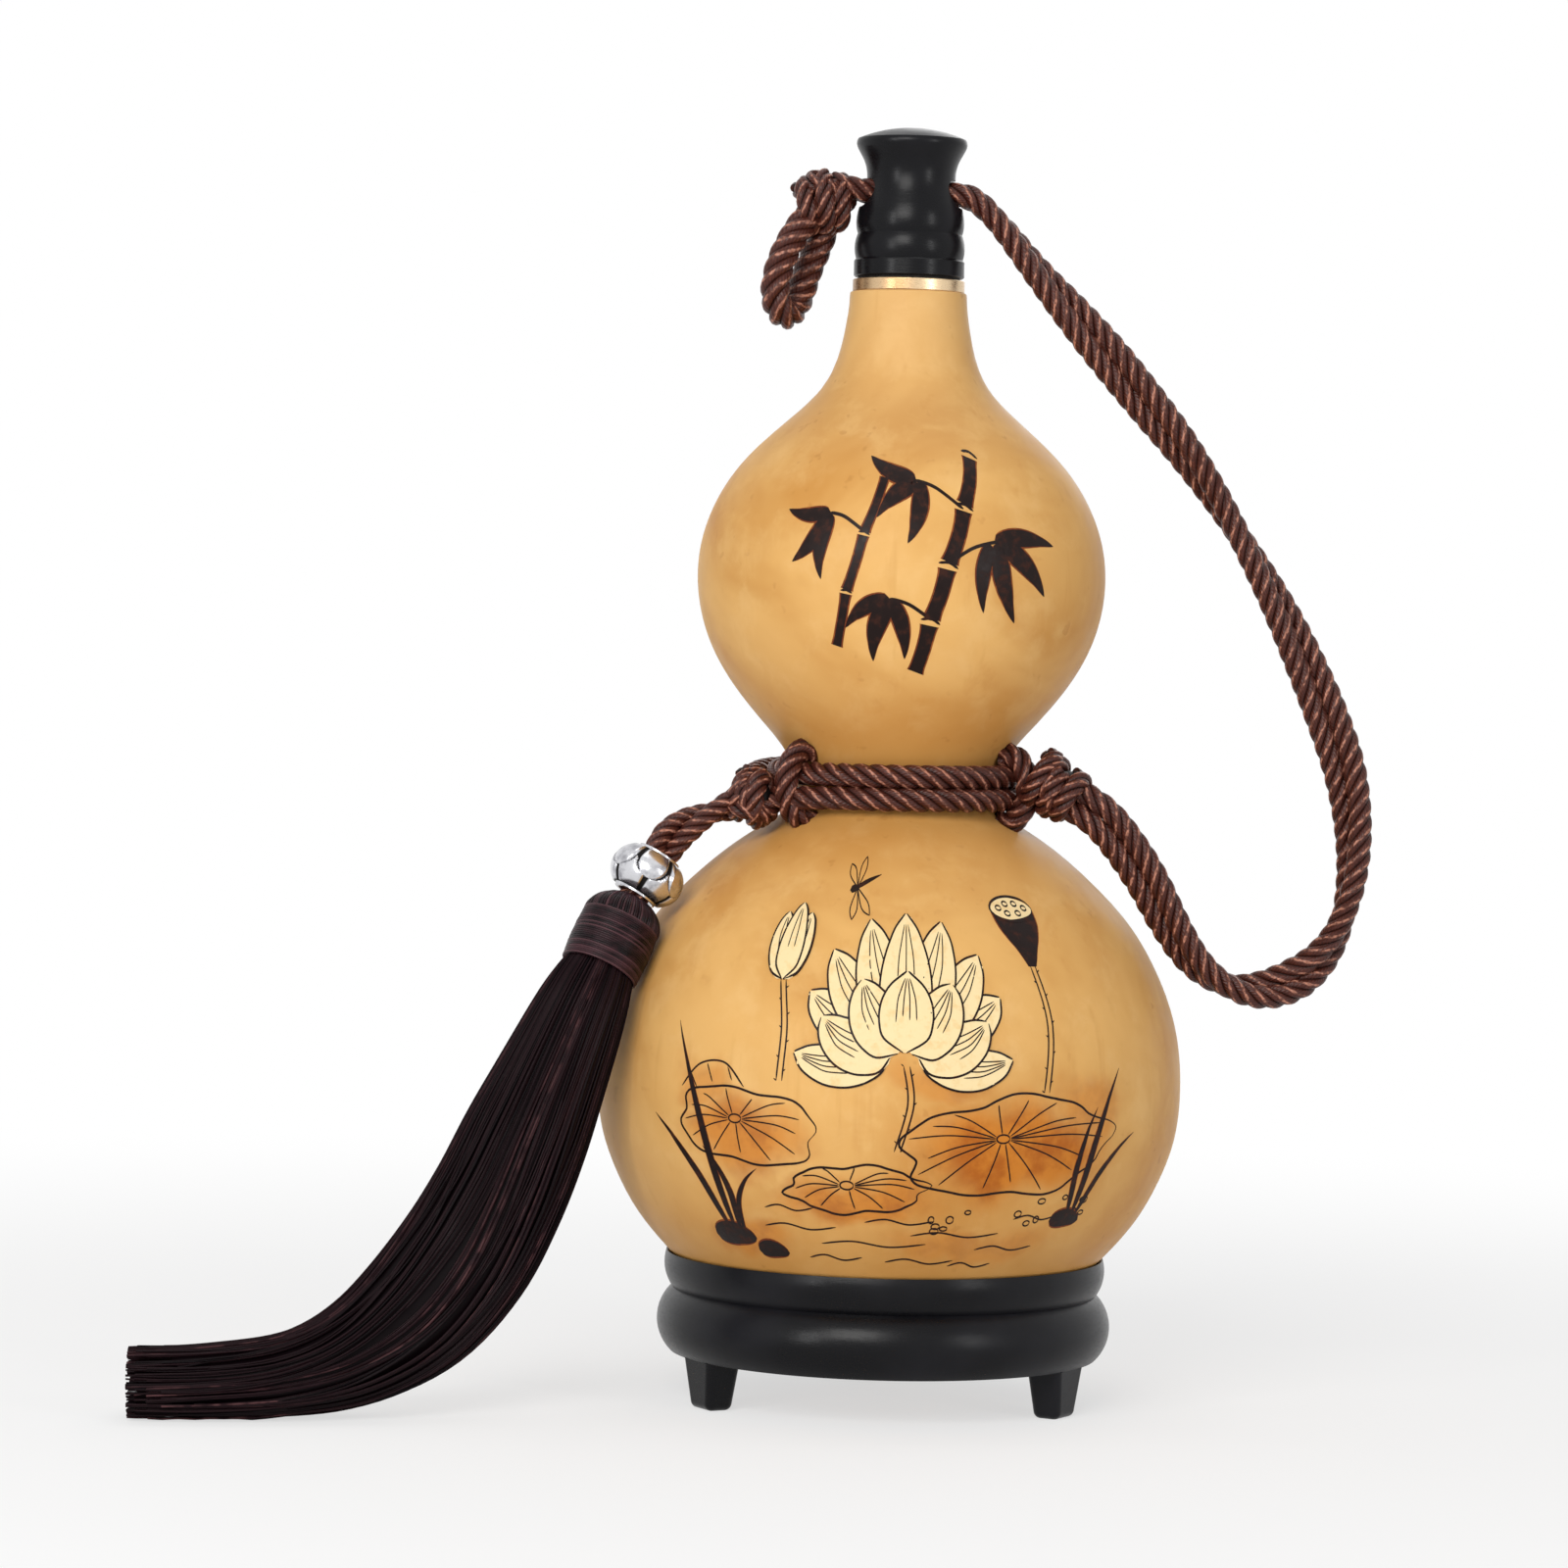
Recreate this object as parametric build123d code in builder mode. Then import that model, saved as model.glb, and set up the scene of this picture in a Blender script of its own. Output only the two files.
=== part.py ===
from build123d import *
import math
import os

# Gourd water bottle on its three-footed stand, in millimetres, +Z up.
# The origin is the centre of the stand on the table.
os.makedirs("parts", exist_ok=True)

# Gourd: a dried double-bulb shell, open at the neck
lower_bulb_radius = 64.2
lower_bulb_height = 71.4
upper_bulb_radius = 44.8
upper_bulb_height = 179.4
waist_radius = 22.4
waist_height = 134.6
neck_radius = 12.85
neck_top_height = 244.2
gourd_base_radius = 14.0
gourd_base_height = 13.5
gourd_wall = 3.5
neck_edge_round = 0.5
outline_end_pull = 1.0

# Mouth: a wooden bush glued in the neck, with a metal band round its collar
bush_bore_radius = 7.6
bush_wall = 2.0
bush_depth = 20.0
collar_radius = 11.35
collar_height = 2.6
glue_gap = 0.05
ferrule_wall = 0.9
ferrule_height = 2.7
ferrule_round = 0.25

# Stopper: a turned cap with a spigot, a cork sleeve on it and a thin gasket
cap_radius = 12.15
cap_height = 32.8
cap_edge = 0.3
spigot_radius = 5.2
spigot_length = 17.5
cork_wall = 2.25
cork_length = 16.5
cork_chamfer = 1.2
gasket_thickness = 0.45
gasket_margin = 0.9
gasket_bore_gap = 0.2
seat_clearance = 0.1

# Cord: one soft twisted cord, used double
cord_diameter = 5.3
strand_spacing = 6.2
slot_rise = 18.35
slot_clearance = 0.45
slot_cord_stub = 0.75

# Stand: two turned rings glued together and three feet tenoned into them
seat_ring_top = 32.4
seat_ring_lip = 1.0
seat_ring_width = 10.0
seat_lip_setback = 0.3
base_ring_overhang = 1.5
ring_joint_height = 24.4
ring_joint_setback = 1.7
base_ring_bottom = 10.6
base_ring_bottom_setback = 1.3
gourd_seat_gap = 0.25
spigot_step_setback = 6.5
spigot_step_width = 2.6
spigot_step_depth = 2.0
joint_gap = 0.1
foot_count = 3
foot_setback = 5.5
foot_top_width = 12.4
foot_top_depth = 8.2
foot_bottom_width = 8.8
foot_bottom_depth = 6.2
foot_corner = 1.8
foot_toe_round = 1.6
foot_first_angle = 90
tenon_radius = 2.6
tenon_length = 6.0

# Winding: two turns of the cord round the waist, tied off at the left knot
winding_clearance = 0.33
winding_rise = 1.4
winding_pitch = 6.1
winding_start_way = (0.93, -0.36, 0.0)
winding_join_angle = 245
winding_step_angles = (450, 540)
winding_leave_angles = (765, 855)
winding_spread = 6.5
winding_end_way = (0.12, -0.95, -0.27)

# Knots: round lumps with the grooves between their strands
cap_knot_radius = 6.4
cap_knot_reach = 7.15
cap_knot_drop = 2.3
left_knot_radius = 6.3
left_knot_reach = 5.15
left_knot_front = 15.5
left_knot_drop = 3.0
right_knot_radius = 8.0
right_knot_length = 11.0
right_knot_reach = 8.75
right_knot_front = 13.8
right_knot_rise = 0.3
right_knot_lean = (0.84, -0.20, -0.50)
knot_groove = 0.9
knot_fit = 0.3
knot_groove_share = 0.33

# Tail: a doubled cord bound as one, a bead threaded on it and a tassel
tail_diameter = 7.2
bead_drop = 17.4
bead_clear = 14.5
bead_angle = 201.1
bead_lean = (-0.60, -0.26, -1.0)
bead_radius = 8.3
bead_length = 10.4
bead_bore_radius = 4.0
bead_rim_width = 0.9
bead_rim_length = 0.8
bead_gap = 0.7
crown_gap = 1.2
crown_length = 5.6
crown_top_radius = 3.4
crown_radius = 8.4
binding_length = 12.0
binding_radius = 8.7
binding_end_radius = 8.4
skirt_half_width = 12.6
skirt_half_depth = 10.8
skirt_reach = 105.05
skirt_rest_height = 7.6

# Heights of the mouth and the stopper
ferrule_top = neck_top_height + ferrule_height
gasket_bottom = ferrule_top + seat_clearance
cap_bottom = gasket_bottom + gasket_thickness
slot_height = cap_bottom + slot_rise

# How far the slot's cutter runs past the cap
cut_overrun = 1.0

# Shares of the height and of the radius between the named levels of the gourd
lower_bulb_shares = [(0.086, 0.319), (0.181, 0.490), (0.330, 0.671), (0.477, 0.815), (0.627, 0.912),
                     (0.775, 0.974)]
shoulder_shares = [(0.203, 0.036), (0.407, 0.153), (0.544, 0.280), (0.679, 0.467), (0.785, 0.651),
                   (0.868, 0.832), (0.918, 0.944), (0.955, 0.988)]
upper_bulb_shares = [(0.125, 0.040), (0.228, 0.161), (0.324, 0.326), (0.518, 0.643), (0.710, 0.862)]
neck_shares = [(0.133, 0.016), (0.267, 0.103), (0.400, 0.269), (0.532, 0.534), (0.600, 0.689), (0.667, 0.817),
               (0.733, 0.895), (0.866, 0.970)]

# Shares of the cap's radius and height, from its underside up
cap_band_share = (1.0, 0.107)
cap_groove_share = (0.967, 0.122)
cap_roll_share = (0.996, 0.210)
cap_crease_share = (0.945, 0.290)
cap_waist_shares = [(0.975, 0.345), (0.951, 0.442), (0.840, 0.573), (0.802, 0.680), (0.852, 0.771),
                    (0.955, 0.844)]
cap_rim_share = (1.0, 0.887)
cap_shoulder_share = (0.975, 0.925)

# Free cord routes: points chosen by hand. The strap's are the middle of its two strands, which twist
# round each other by the angles given, seen from the front: 90 is nearest, 180 is the strap's inner side.
strap_route = [
    (8.0, 0.0, slot_height), (13.5, 0.0, slot_height), (20.0, 0.0, 259.5), (28.0, -0.5, 249.5),
    (36.5, -1.0, 240.0), (45.0, -1.0, 230.5), (53.0, -1.5, 221.0), (61.0, -2.0, 211.5),
    (68.5, -3.0, 201.0), (75.5, -3.5, 190.0), (82.5, -4.5, 178.0), (88.5, -5.0, 166.0),
    (94.0, -6.0, 153.5), (98.5, -7.0, 141.0), (100.5, -8.0, 127.5), (100.0, -9.0, 116.0),
    (97.5, -9.5, 106.5), (93.5, -10.0, 100.0), (88.0, -10.5, 95.5), (81.0, -11.0, 93.0),
    (73.5, -11.5, 93.5), (66.0, -12.0, 98.5), (60.0, -13.0, 107.5), (55.0, -14.0, 117.0),
    (49.0, -15.0, 125.5), (44.5, -16.0, 130.5), (40.0, -15.0, 133.4)]
strap_twists = [90, 90, 95, 110, 145, 180, 205, 230, 255, 280, 305, 330, 360, 385, 415, 440, 465, 495,
                540, 585, 630, 660, 680, 700, 715, 720, 720]

# The finger loop's points go from the cap's knot and the tail's first from the left knot. The tail's next
# is a share of the way from that knot to the straight run above the bead.
finger_loop_offsets = [
    (-4.8, -2.8, -4.8), (-9.7, -5.2, -13.3), (-11.3, -5.4, -22.3), (-7.7, -0.4, -26.6), (-3.7, 4.8, -22.7),
    (-1.6, 4.6, -14.9), (1.5, 3.1, -7.6)]
tail_exit = (-6.1, -0.5, -2.4)
tail_bend_shares = (0.724, 0.458, 0.581)
tail_straight = 4.4

# Tassel skirt: the line that its middle follows down to the table, and its girth along it. The line's
# places go by their angle round the gourd, their reach out of the lower bulb and their height from rest
# up to the crown.
skirt_angles = [205.6, 205.7, 205.7, 205.7, 205.5, 204.9, 203.8, 202.3, 200.7, 199.0]
skirt_reach_shares = [0.095, 0.156, 0.206, 0.262, 0.334, 0.432, 0.554, 0.691, 0.844, 1.0]
skirt_height_shares = [0.778, 0.637, 0.511, 0.379, 0.253, 0.140, 0.060, 0.021, 0.004, 0.0]
skirt_width_shares = [0.76, 0.90, 1.0, 0.98, 0.94, 0.87, 0.73, 0.62, 0.58, 0.55]
skirt_depth_shares = [0.81, 0.83, 0.83, 0.81, 0.80, 0.80, 0.83, 0.91, 0.96, 1.0]

# Shares used by the shapes below
right_knot_band_shares = [1.0, 0.92, 0.82]
tube_arc_share = 0.45
crown_shoulder_share = (0.88, 0.34)

# Counts of the points that stand for a curve
outline_samples = 40
outline_halvings = 40
clear_samples = 40
winding_samples = 260

# Values worked out from the sizes above
cord_radius = cord_diameter / 2
tail_radius = tail_diameter / 2
bush_radius = bush_bore_radius + bush_wall
bush_bottom = neck_top_height - bush_depth
ferrule_inner = collar_radius + glue_gap
ferrule_outer = ferrule_inner + ferrule_wall
cork_radius = spigot_radius + cork_wall
slot_cord_reach = cap_radius + slot_cord_stub
slot_opening = cord_diameter + slot_clearance * 2
slot_width = strand_spacing + slot_opening
winding_height = waist_height + winding_rise
low_turn = winding_height - winding_pitch / 2
high_turn = winding_height + winding_pitch / 2
cap_knot_centre = Vector(-cap_radius - cap_knot_reach, 0, slot_height - cap_knot_drop)
base_ring_widest = (ring_joint_height + base_ring_bottom) / 2
seat_ring_widest = (ring_joint_height + seat_ring_top) / 2


def between(low, high, share):
    """A value a share of the way from low to high."""
    return low + (high - low) * share


def gourd_levels():
    """Points (radius, height) up the outside of the gourd."""
    points = [(gourd_base_radius, gourd_base_height)]
    stretches = [
        (gourd_base_radius, gourd_base_height, lower_bulb_radius, lower_bulb_height, lower_bulb_shares),
        (lower_bulb_radius, lower_bulb_height, waist_radius, waist_height, shoulder_shares),
        (waist_radius, waist_height, upper_bulb_radius, upper_bulb_height, upper_bulb_shares),
        (upper_bulb_radius, upper_bulb_height, neck_radius, neck_top_height, neck_shares)]
    for low_radius, low_height, high_radius, high_height, shares in stretches:
        for height_share, radius_share in shares:
            points.append((between(low_radius, high_radius, radius_share),
                           between(low_height, high_height, height_share)))
        points.append((high_radius, high_height))
    return points


def gourd_outline():
    """The outside of the gourd, level at its base and upright at its neck."""
    pulls = (outline_end_pull, outline_end_pull)
    return Spline(*gourd_levels(), tangents=((1, 0), (0, 1)), tangent_scalars=pulls)


gourd_curve = gourd_outline()


def gourd_offset(distance, top):
    """Points of the gourd's outline moved outwards by a distance, as far up as top."""
    points = []
    for step in range(outline_samples + 1):
        here = gourd_curve @ (step / outline_samples)
        along = gourd_curve % (step / outline_samples)
        moved = (here.X + along.Y * distance, here.Y - along.X * distance)
        if moved[1] < top:
            points.append(moved)
    return points


def gourd_radius(height):
    """The gourd's radius at a height, found by halving the outline."""
    low, high = 0, 1
    for _ in range(outline_halvings):
        middle = (low + high) / 2
        if (gourd_curve @ middle).Y < height:
            low = middle
        else:
            high = middle
    return (gourd_curve @ low).X


def clear_radius(height):
    """The radius of a level turn of cord that keeps its clearance from the gourd all round its side."""
    reach = cord_radius + winding_clearance
    widest = 0
    for step in range(clear_samples + 1):
        rise = between(-reach, reach, step / clear_samples)
        widest = max(widest, gourd_radius(height + rise) + math.sqrt(reach ** 2 - rise ** 2))
    return widest


def round_axis(angle, radius, height):
    """A place at an angle and a distance round the gourd's axis."""
    place = math.radians(angle)
    return Vector(radius * math.cos(place), radius * math.sin(place), height)


# Values that follow the gourd's outline
winding_radius = max(clear_radius(low_turn), clear_radius(high_turn))
left_knot = Vector(-winding_radius - left_knot_reach, -left_knot_front, winding_height - left_knot_drop)
right_knot = Vector(winding_radius + right_knot_reach, -right_knot_front, winding_height + right_knot_rise)
seat_ring_radius = gourd_radius(seat_ring_top) + seat_ring_lip
base_ring_radius = seat_ring_radius + base_ring_overhang
ring_joint_radius = seat_ring_radius - ring_joint_setback
base_ring_bottom_radius = seat_ring_radius - base_ring_bottom_setback
ring_bore_radius = seat_ring_radius - seat_ring_width
spigot_step_radius = seat_ring_radius - spigot_step_setback
foot_circle_radius = seat_ring_radius - foot_setback
bead_height = left_knot.Z - bead_drop
bead_middle = round_axis(bead_angle, gourd_radius(bead_height) + bead_clear, bead_height)


def unit(direction):
    """A direction as a vector of length one."""
    return Vector(*direction).normalized()


def axis_plane(origin, along):
    """A plane for a half profile: x away from the axis, y along it."""
    side = along.cross(Vector(0, 1, 0)).normalized()
    return Plane(origin=origin, x_dir=side, z_dir=side.cross(along))


def cap_point(share):
    """A point (radius, height) of the cap from its shares."""
    return (cap_radius * share[0], cap_bottom + cap_height * share[1])


def tube_radii(route):
    """The largest tangent arc that the two runs at each inner point allow."""
    radii = []
    for before, here, after in zip(route, route[1:], route[2:]):
        first = Vector(*here) - Vector(*before)
        second = Vector(*after) - Vector(*here)
        half_turn = math.radians(first.get_angle(second)) / 2
        radii.append(tube_arc_share * min(first.length, second.length) / math.tan(half_turn))
    return radii


def strand(route, twists, side):
    """One strand of a twisted pair, from the pair's middle line; side is 1 or -1."""
    points = []
    for index, (middle, twist) in enumerate(zip(route, twists)):
        before = Vector(*route[max(index - 1, 0)])
        after = Vector(*route[min(index + 1, len(route) - 1)])
        along = (after - before).normalized()
        nearer = (Vector(0, -1, 0) - along * along.dot(Vector(0, -1, 0))).normalized()
        outer = nearer.cross(along)
        turn = math.radians(twist)
        reach = (outer * math.cos(turn) + nearer * math.sin(turn)) * side * strand_spacing / 2
        points.append(tuple(Vector(*middle) + reach))
    return points


def tube(name, route, diameter):
    """A plain tube of straight runs and tangent arcs, checked by its volume."""
    radii = tube_radii(route)
    with BuildPart() as cord:
        with BuildLine():
            path = FilletPolyline(*route, radius=radii)
        with BuildSketch(Plane(origin=path @ 0, z_dir=path % 0)):
            Circle(diameter / 2)
        sweep()
    expected = math.pi * (diameter / 2) ** 2 * path.length
    print(name, "length", round(path.length, 1), "arc radii", [round(radius, 1) for radius in radii],
          "volume share", round(cord.part.volume / expected, 4))
    return cord.part


def save(piece, name):
    """Label a finished piece and write it."""
    piece.label = name
    export_step(piece, f"parts/{name}.step")


# Gourd shell
shell_samples = gourd_offset(-gourd_wall, bush_bottom - gourd_wall)
with BuildPart() as gourd_shell:
    with BuildSketch(Plane.XZ):
        with BuildLine():
            Line((0, gourd_base_height), (gourd_base_radius, gourd_base_height))
            gourd_outline()
            Line((neck_radius, neck_top_height), (bush_radius + glue_gap, neck_top_height))
            Line((bush_radius + glue_gap, neck_top_height), (bush_radius + glue_gap, bush_bottom))
            Line((bush_radius + glue_gap, bush_bottom), shell_samples[-1])
            Spline(*reversed(shell_samples))
            Line(shell_samples[0], (0, shell_samples[0][1]))
            Line((0, shell_samples[0][1]), (0, gourd_base_height))
        make_face()
    revolve(axis=Axis.Z)
    rim = gourd_shell.edges().filter_by(GeomType.CIRCLE).sort_by(Axis.Z)[-2:].sort_by(SortBy.RADIUS)[-1]
    fillet(rim, neck_edge_round)
save(gourd_shell.part, "gourd_shell")

# Mouth bush
with BuildPart() as mouth_bush:
    with BuildSketch(Plane.XY.offset(bush_bottom)):
        Circle(bush_radius)
    extrude(amount=bush_depth)
    with BuildSketch(Plane.XY.offset(neck_top_height)):
        Circle(collar_radius)
    extrude(amount=collar_height)
    with BuildSketch(Plane.XY.offset(bush_bottom)):
        Circle(bush_bore_radius)
    extrude(amount=bush_depth + collar_height, mode=Mode.SUBTRACT)
    mouth_edge = mouth_bush.edges().filter_by(GeomType.CIRCLE).group_by(Axis.Z)[-1].sort_by(SortBy.RADIUS)[0]
    chamfer(mouth_edge, cap_edge)
save(mouth_bush.part, "mouth_bush")

# Neck ferrule
with BuildPart() as neck_ferrule:
    with BuildSketch(Plane.XY.offset(neck_top_height)):
        Circle(ferrule_outer)
        Circle(ferrule_inner, mode=Mode.SUBTRACT)
    extrude(amount=ferrule_height)
    outer_edges = neck_ferrule.faces().filter_by(GeomType.CYLINDER).sort_by(SortBy.AREA)[-1].edges()
    fillet(outer_edges.filter_by(GeomType.CIRCLE), ferrule_round)
save(neck_ferrule.part, "neck_ferrule")

# Stopper cap with its spigot and its cross slot for the cord pair
with BuildPart() as stopper_cap:
    with BuildSketch(Plane.XZ):
        with BuildLine():
            Line((0, cap_bottom), (cap_radius - cap_edge, cap_bottom))
            Line((cap_radius - cap_edge, cap_bottom), (cap_radius, cap_bottom + cap_edge))
            Line((cap_radius, cap_bottom + cap_edge), cap_point(cap_band_share))
            Line(cap_point(cap_band_share), cap_point(cap_groove_share))
            ThreePointArc(cap_point(cap_groove_share), cap_point(cap_roll_share), cap_point(cap_crease_share))
            Spline(cap_point(cap_crease_share), *[cap_point(share) for share in cap_waist_shares],
                   cap_point(cap_rim_share), cap_point(cap_shoulder_share))
            TangentArc((0, cap_bottom + cap_height), cap_point(cap_shoulder_share), tangent=(1, 0))
            Line((0, cap_bottom + cap_height), (0, cap_bottom))
        make_face()
    revolve(axis=Axis.Z)
    with BuildSketch(Plane.XY.offset(cap_bottom - spigot_length)):
        Circle(spigot_radius)
    extrude(amount=spigot_length)
    with BuildSketch(Plane.YZ.offset(-cap_radius - cut_overrun)):
        with Locations((0, slot_height)):
            SlotOverall(slot_width, slot_opening)
    extrude(amount=(cap_radius + cut_overrun) * 2, mode=Mode.SUBTRACT)
save(stopper_cap.part, "stopper_cap")

# Cork sleeve on the spigot
with BuildPart() as stopper_cork:
    with BuildSketch(Plane.XY.offset(cap_bottom - cork_length)):
        Circle(cork_radius)
        Circle(spigot_radius + glue_gap, mode=Mode.SUBTRACT)
    extrude(amount=cork_length)
    cork_edge = stopper_cork.edges().filter_by(GeomType.CIRCLE).group_by(Axis.Z)[0].sort_by(SortBy.RADIUS)[-1]
    chamfer(cork_edge, cork_chamfer)
save(stopper_cork.part, "stopper_cork")

# Gasket under the cap
with BuildPart() as stopper_gasket:
    with BuildSketch(Plane.XY.offset(gasket_bottom)):
        Circle(cap_radius - gasket_margin)
        Circle(cork_radius + gasket_bore_gap, mode=Mode.SUBTRACT)
    extrude(amount=gasket_thickness)
save(stopper_gasket.part, "stopper_gasket")

# The strap's two strands: the lengths held in the cap's slot and the free lengths down to the waist
for name, side in (("front", 1), ("rear", -1)):
    strand_points = strand(strap_route, strap_twists, side)
    start = strand_points[0]
    with BuildPart() as slot_cord:
        with BuildSketch(Plane.YZ.offset(-slot_cord_reach)):
            with Locations((start[1], start[2])):
                Circle(cord_radius)
        extrude(amount=start[0] + slot_cord_reach)
    save(slot_cord.part, f"slot_cord_{name}")
    save(tube(f"strap_cord_{name}", strand_points, cord_diameter), f"strap_cord_{name}")

# Finger loop under the cap's knot
loop_points = [tuple(cap_knot_centre + Vector(*offset)) for offset in finger_loop_offsets]
save(tube("finger_loop", loop_points, cord_diameter), "finger_loop")

# The tail runs straight for its last stretch, in line with the bead
bead_axis = unit(bead_lean)
hanger_top = bead_middle - bead_axis * (bead_length / 2 + bead_gap)
straight_top = hanger_top - bead_axis * tail_straight
tail_bend = [between(low, high, share) for low, high, share in zip(left_knot, straight_top, tail_bend_shares)]
tail_top = left_knot + Vector(*tail_exit)
tail_points = [tuple(tail_top), tuple(tail_bend), tuple(straight_top), tuple(hanger_top)]
save(tube("tail_cord", tail_points, tail_diameter), "tail_cord")

# Knots on the cap's cord and at the left of the waist
for name, centre, radius in (("cap_knot", cap_knot_centre, cap_knot_radius),
                             ("waist_knot_left", left_knot, left_knot_radius)):
    groove_offset = radius * knot_groove_share
    with BuildPart() as knot:
        with Locations(centre):
            Sphere(radius)
        for side in (-1, 1):
            groove_centre = centre + Vector(0, side * groove_offset, 0)
            with Locations(Plane(origin=groove_centre, z_dir=(0, 1, 0))):
                Torus(math.sqrt(radius ** 2 - groove_offset ** 2), knot_groove, mode=Mode.SUBTRACT)
    save(knot.part, name)

# Knot at the right of the waist: three strands that narrow away from the gourd
right_outward = unit(right_knot_lean)
right_start = right_knot - right_outward * (right_knot_length / 2)
band_pitch = right_knot_length / len(right_knot_band_shares)
with BuildPart() as waist_knot_right:
    with BuildSketch(axis_plane(right_start, right_outward)):
        for band, share in enumerate(right_knot_band_shares):
            low = band * band_pitch
            high = low + band_pitch
            valley = right_knot_radius * share - knot_groove
            crest = (right_knot_radius * share, low + band_pitch / 2)
            with BuildLine():
                ThreePointArc((valley, low), crest, (valley, high))
                Polyline((valley, high), (0, high), (0, low), (valley, low))
            make_face()
    revolve(axis=Axis(right_start, right_outward))
save(waist_knot_right.part, "waist_knot_right")


def level_station(angle, radius, height):
    """A point on a level circle round the gourd and the way of travel there."""
    place = math.radians(angle)
    return round_axis(angle, radius, height), Vector(-math.sin(place), math.cos(place), 0)


def biarc(start, start_way, end, end_way):
    """Two tangent arcs from one point and way to another."""
    chord = end - start
    ways = start_way + end_way
    square = 4 - ways.dot(ways)
    reach = (math.sqrt(chord.dot(ways) ** 2 + square * chord.dot(chord)) - chord.dot(ways)) / square
    first_corner = start + start_way * reach
    last_corner = end - end_way * reach
    middle = (first_corner + last_corner) / 2
    TangentArc(start, middle, tangent=start_way)
    TangentArc(middle, end, tangent=last_corner - first_corner)


def least_gap(path, diameter):
    """The least gap of a tube to itself, measured between points along its line."""
    points = [path @ (step / winding_samples) for step in range(winding_samples + 1)]
    apart = math.ceil(3 * diameter / (path.length / winding_samples))
    nearest = min((points[i] - points[j]).length
                  for i in range(len(points)) for j in range(i + apart, len(points)))
    return nearest - diameter


# Winding: out of the left knot, two turns that climb a step behind the gourd, and back to the knot
start_way = unit(winding_start_way)
end_way = unit(winding_end_way)
knot_reach = left_knot_radius + knot_fit
step_start, step_end = winding_step_angles
leave_start, leave_end = winding_leave_angles
stations = [(left_knot + start_way * (knot_reach + cord_diameter), start_way),
            level_station(winding_join_angle, winding_radius, low_turn)]
for angle in range(270, step_start + 1, 90):
    stations.append(level_station(angle, winding_radius, low_turn))
for angle in range(step_end, leave_start, 90):
    stations.append(level_station(angle, winding_radius, high_turn))
stations.append(level_station(leave_start, winding_radius, high_turn))
stations.append(level_station(leave_end, winding_radius + winding_spread, high_turn))
stations.append((left_knot - end_way * (knot_reach + cord_diameter), end_way))
with BuildPart() as waist_winding:
    with BuildLine() as turns:
        Line(left_knot + start_way * knot_reach, stations[0][0])
        for (here, here_way), (there, there_way) in zip(stations, stations[1:]):
            biarc(here, here_way, there, there_way)
        Line(stations[-1][0], left_knot - end_way * knot_reach)
    winding_path = turns.wires()[0]
    with BuildSketch(Plane(origin=winding_path @ 0, z_dir=winding_path % 0)):
        Circle(cord_radius)
    sweep()
print("waist_winding length", round(winding_path.length, 1), "least gap to itself",
      round(least_gap(winding_path, cord_diameter), 2), "volume share",
      round(waist_winding.part.volume / (math.pi * cord_radius ** 2 * winding_path.length), 4))
save(waist_winding.part, "waist_winding")

# Bead on the tail cord
rim_radius = bead_bore_radius + bead_rim_width
with BuildPart() as silver_bead:
    with BuildSketch(axis_plane(bead_middle, bead_axis)):
        with BuildLine():
            Line((bead_bore_radius, -bead_length / 2), (rim_radius, -bead_length / 2))
            Line((rim_radius, -bead_length / 2), (rim_radius, bead_rim_length - bead_length / 2))
            ThreePointArc((rim_radius, bead_rim_length - bead_length / 2), (bead_radius, 0),
                          (rim_radius, bead_length / 2 - bead_rim_length))
            Line((rim_radius, bead_length / 2 - bead_rim_length), (rim_radius, bead_length / 2))
            Line((rim_radius, bead_length / 2), (bead_bore_radius, bead_length / 2))
            Line((bead_bore_radius, bead_length / 2), (bead_bore_radius, -bead_length / 2))
        make_face()
    revolve(axis=Axis(bead_middle, bead_axis))
save(silver_bead.part, "silver_bead")

# The line that the tassel hangs on: the skirt's middles, and the axis from the crown toward the first of them
crown_top = bead_middle + bead_axis * (bead_length / 2 + crown_gap)
skirt_line = []
for angle, reach_share, height_share in zip(skirt_angles, skirt_reach_shares, skirt_height_shares):
    skirt_line.append(round_axis(angle, lower_bulb_radius + skirt_reach * reach_share,
                                 between(skirt_rest_height, crown_top.Z, height_share)))
tassel_axis = (skirt_line[0] - crown_top).normalized()

# The tassel's hanging cord, straight through the bead and down to the crown
with BuildPart() as tassel_hanger:
    with BuildSketch(Plane(origin=hanger_top, z_dir=bead_axis)):
        Circle(tail_radius)
    extrude(amount=bead_length + bead_gap + crown_gap + tail_radius)
    split(bisect_by=Plane(origin=crown_top, z_dir=tassel_axis), keep=Keep.BOTTOM)
save(tassel_hanger.part, "tassel_hanger")

# Tassel crown, where the threads fold over
with BuildPart() as tassel_crown:
    with BuildSketch(axis_plane(crown_top, tassel_axis)):
        with BuildLine():
            Line((0, 0), (crown_top_radius, 0))
            ThreePointArc((crown_top_radius, 0),
                          (crown_radius * crown_shoulder_share[0], crown_length * crown_shoulder_share[1]),
                          (crown_radius, crown_length))
            Line((crown_radius, crown_length), (0, crown_length))
            Line((0, crown_length), (0, 0))
        make_face()
    revolve(axis=Axis(crown_top, tassel_axis))
save(tassel_crown.part, "tassel_crown")

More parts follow.
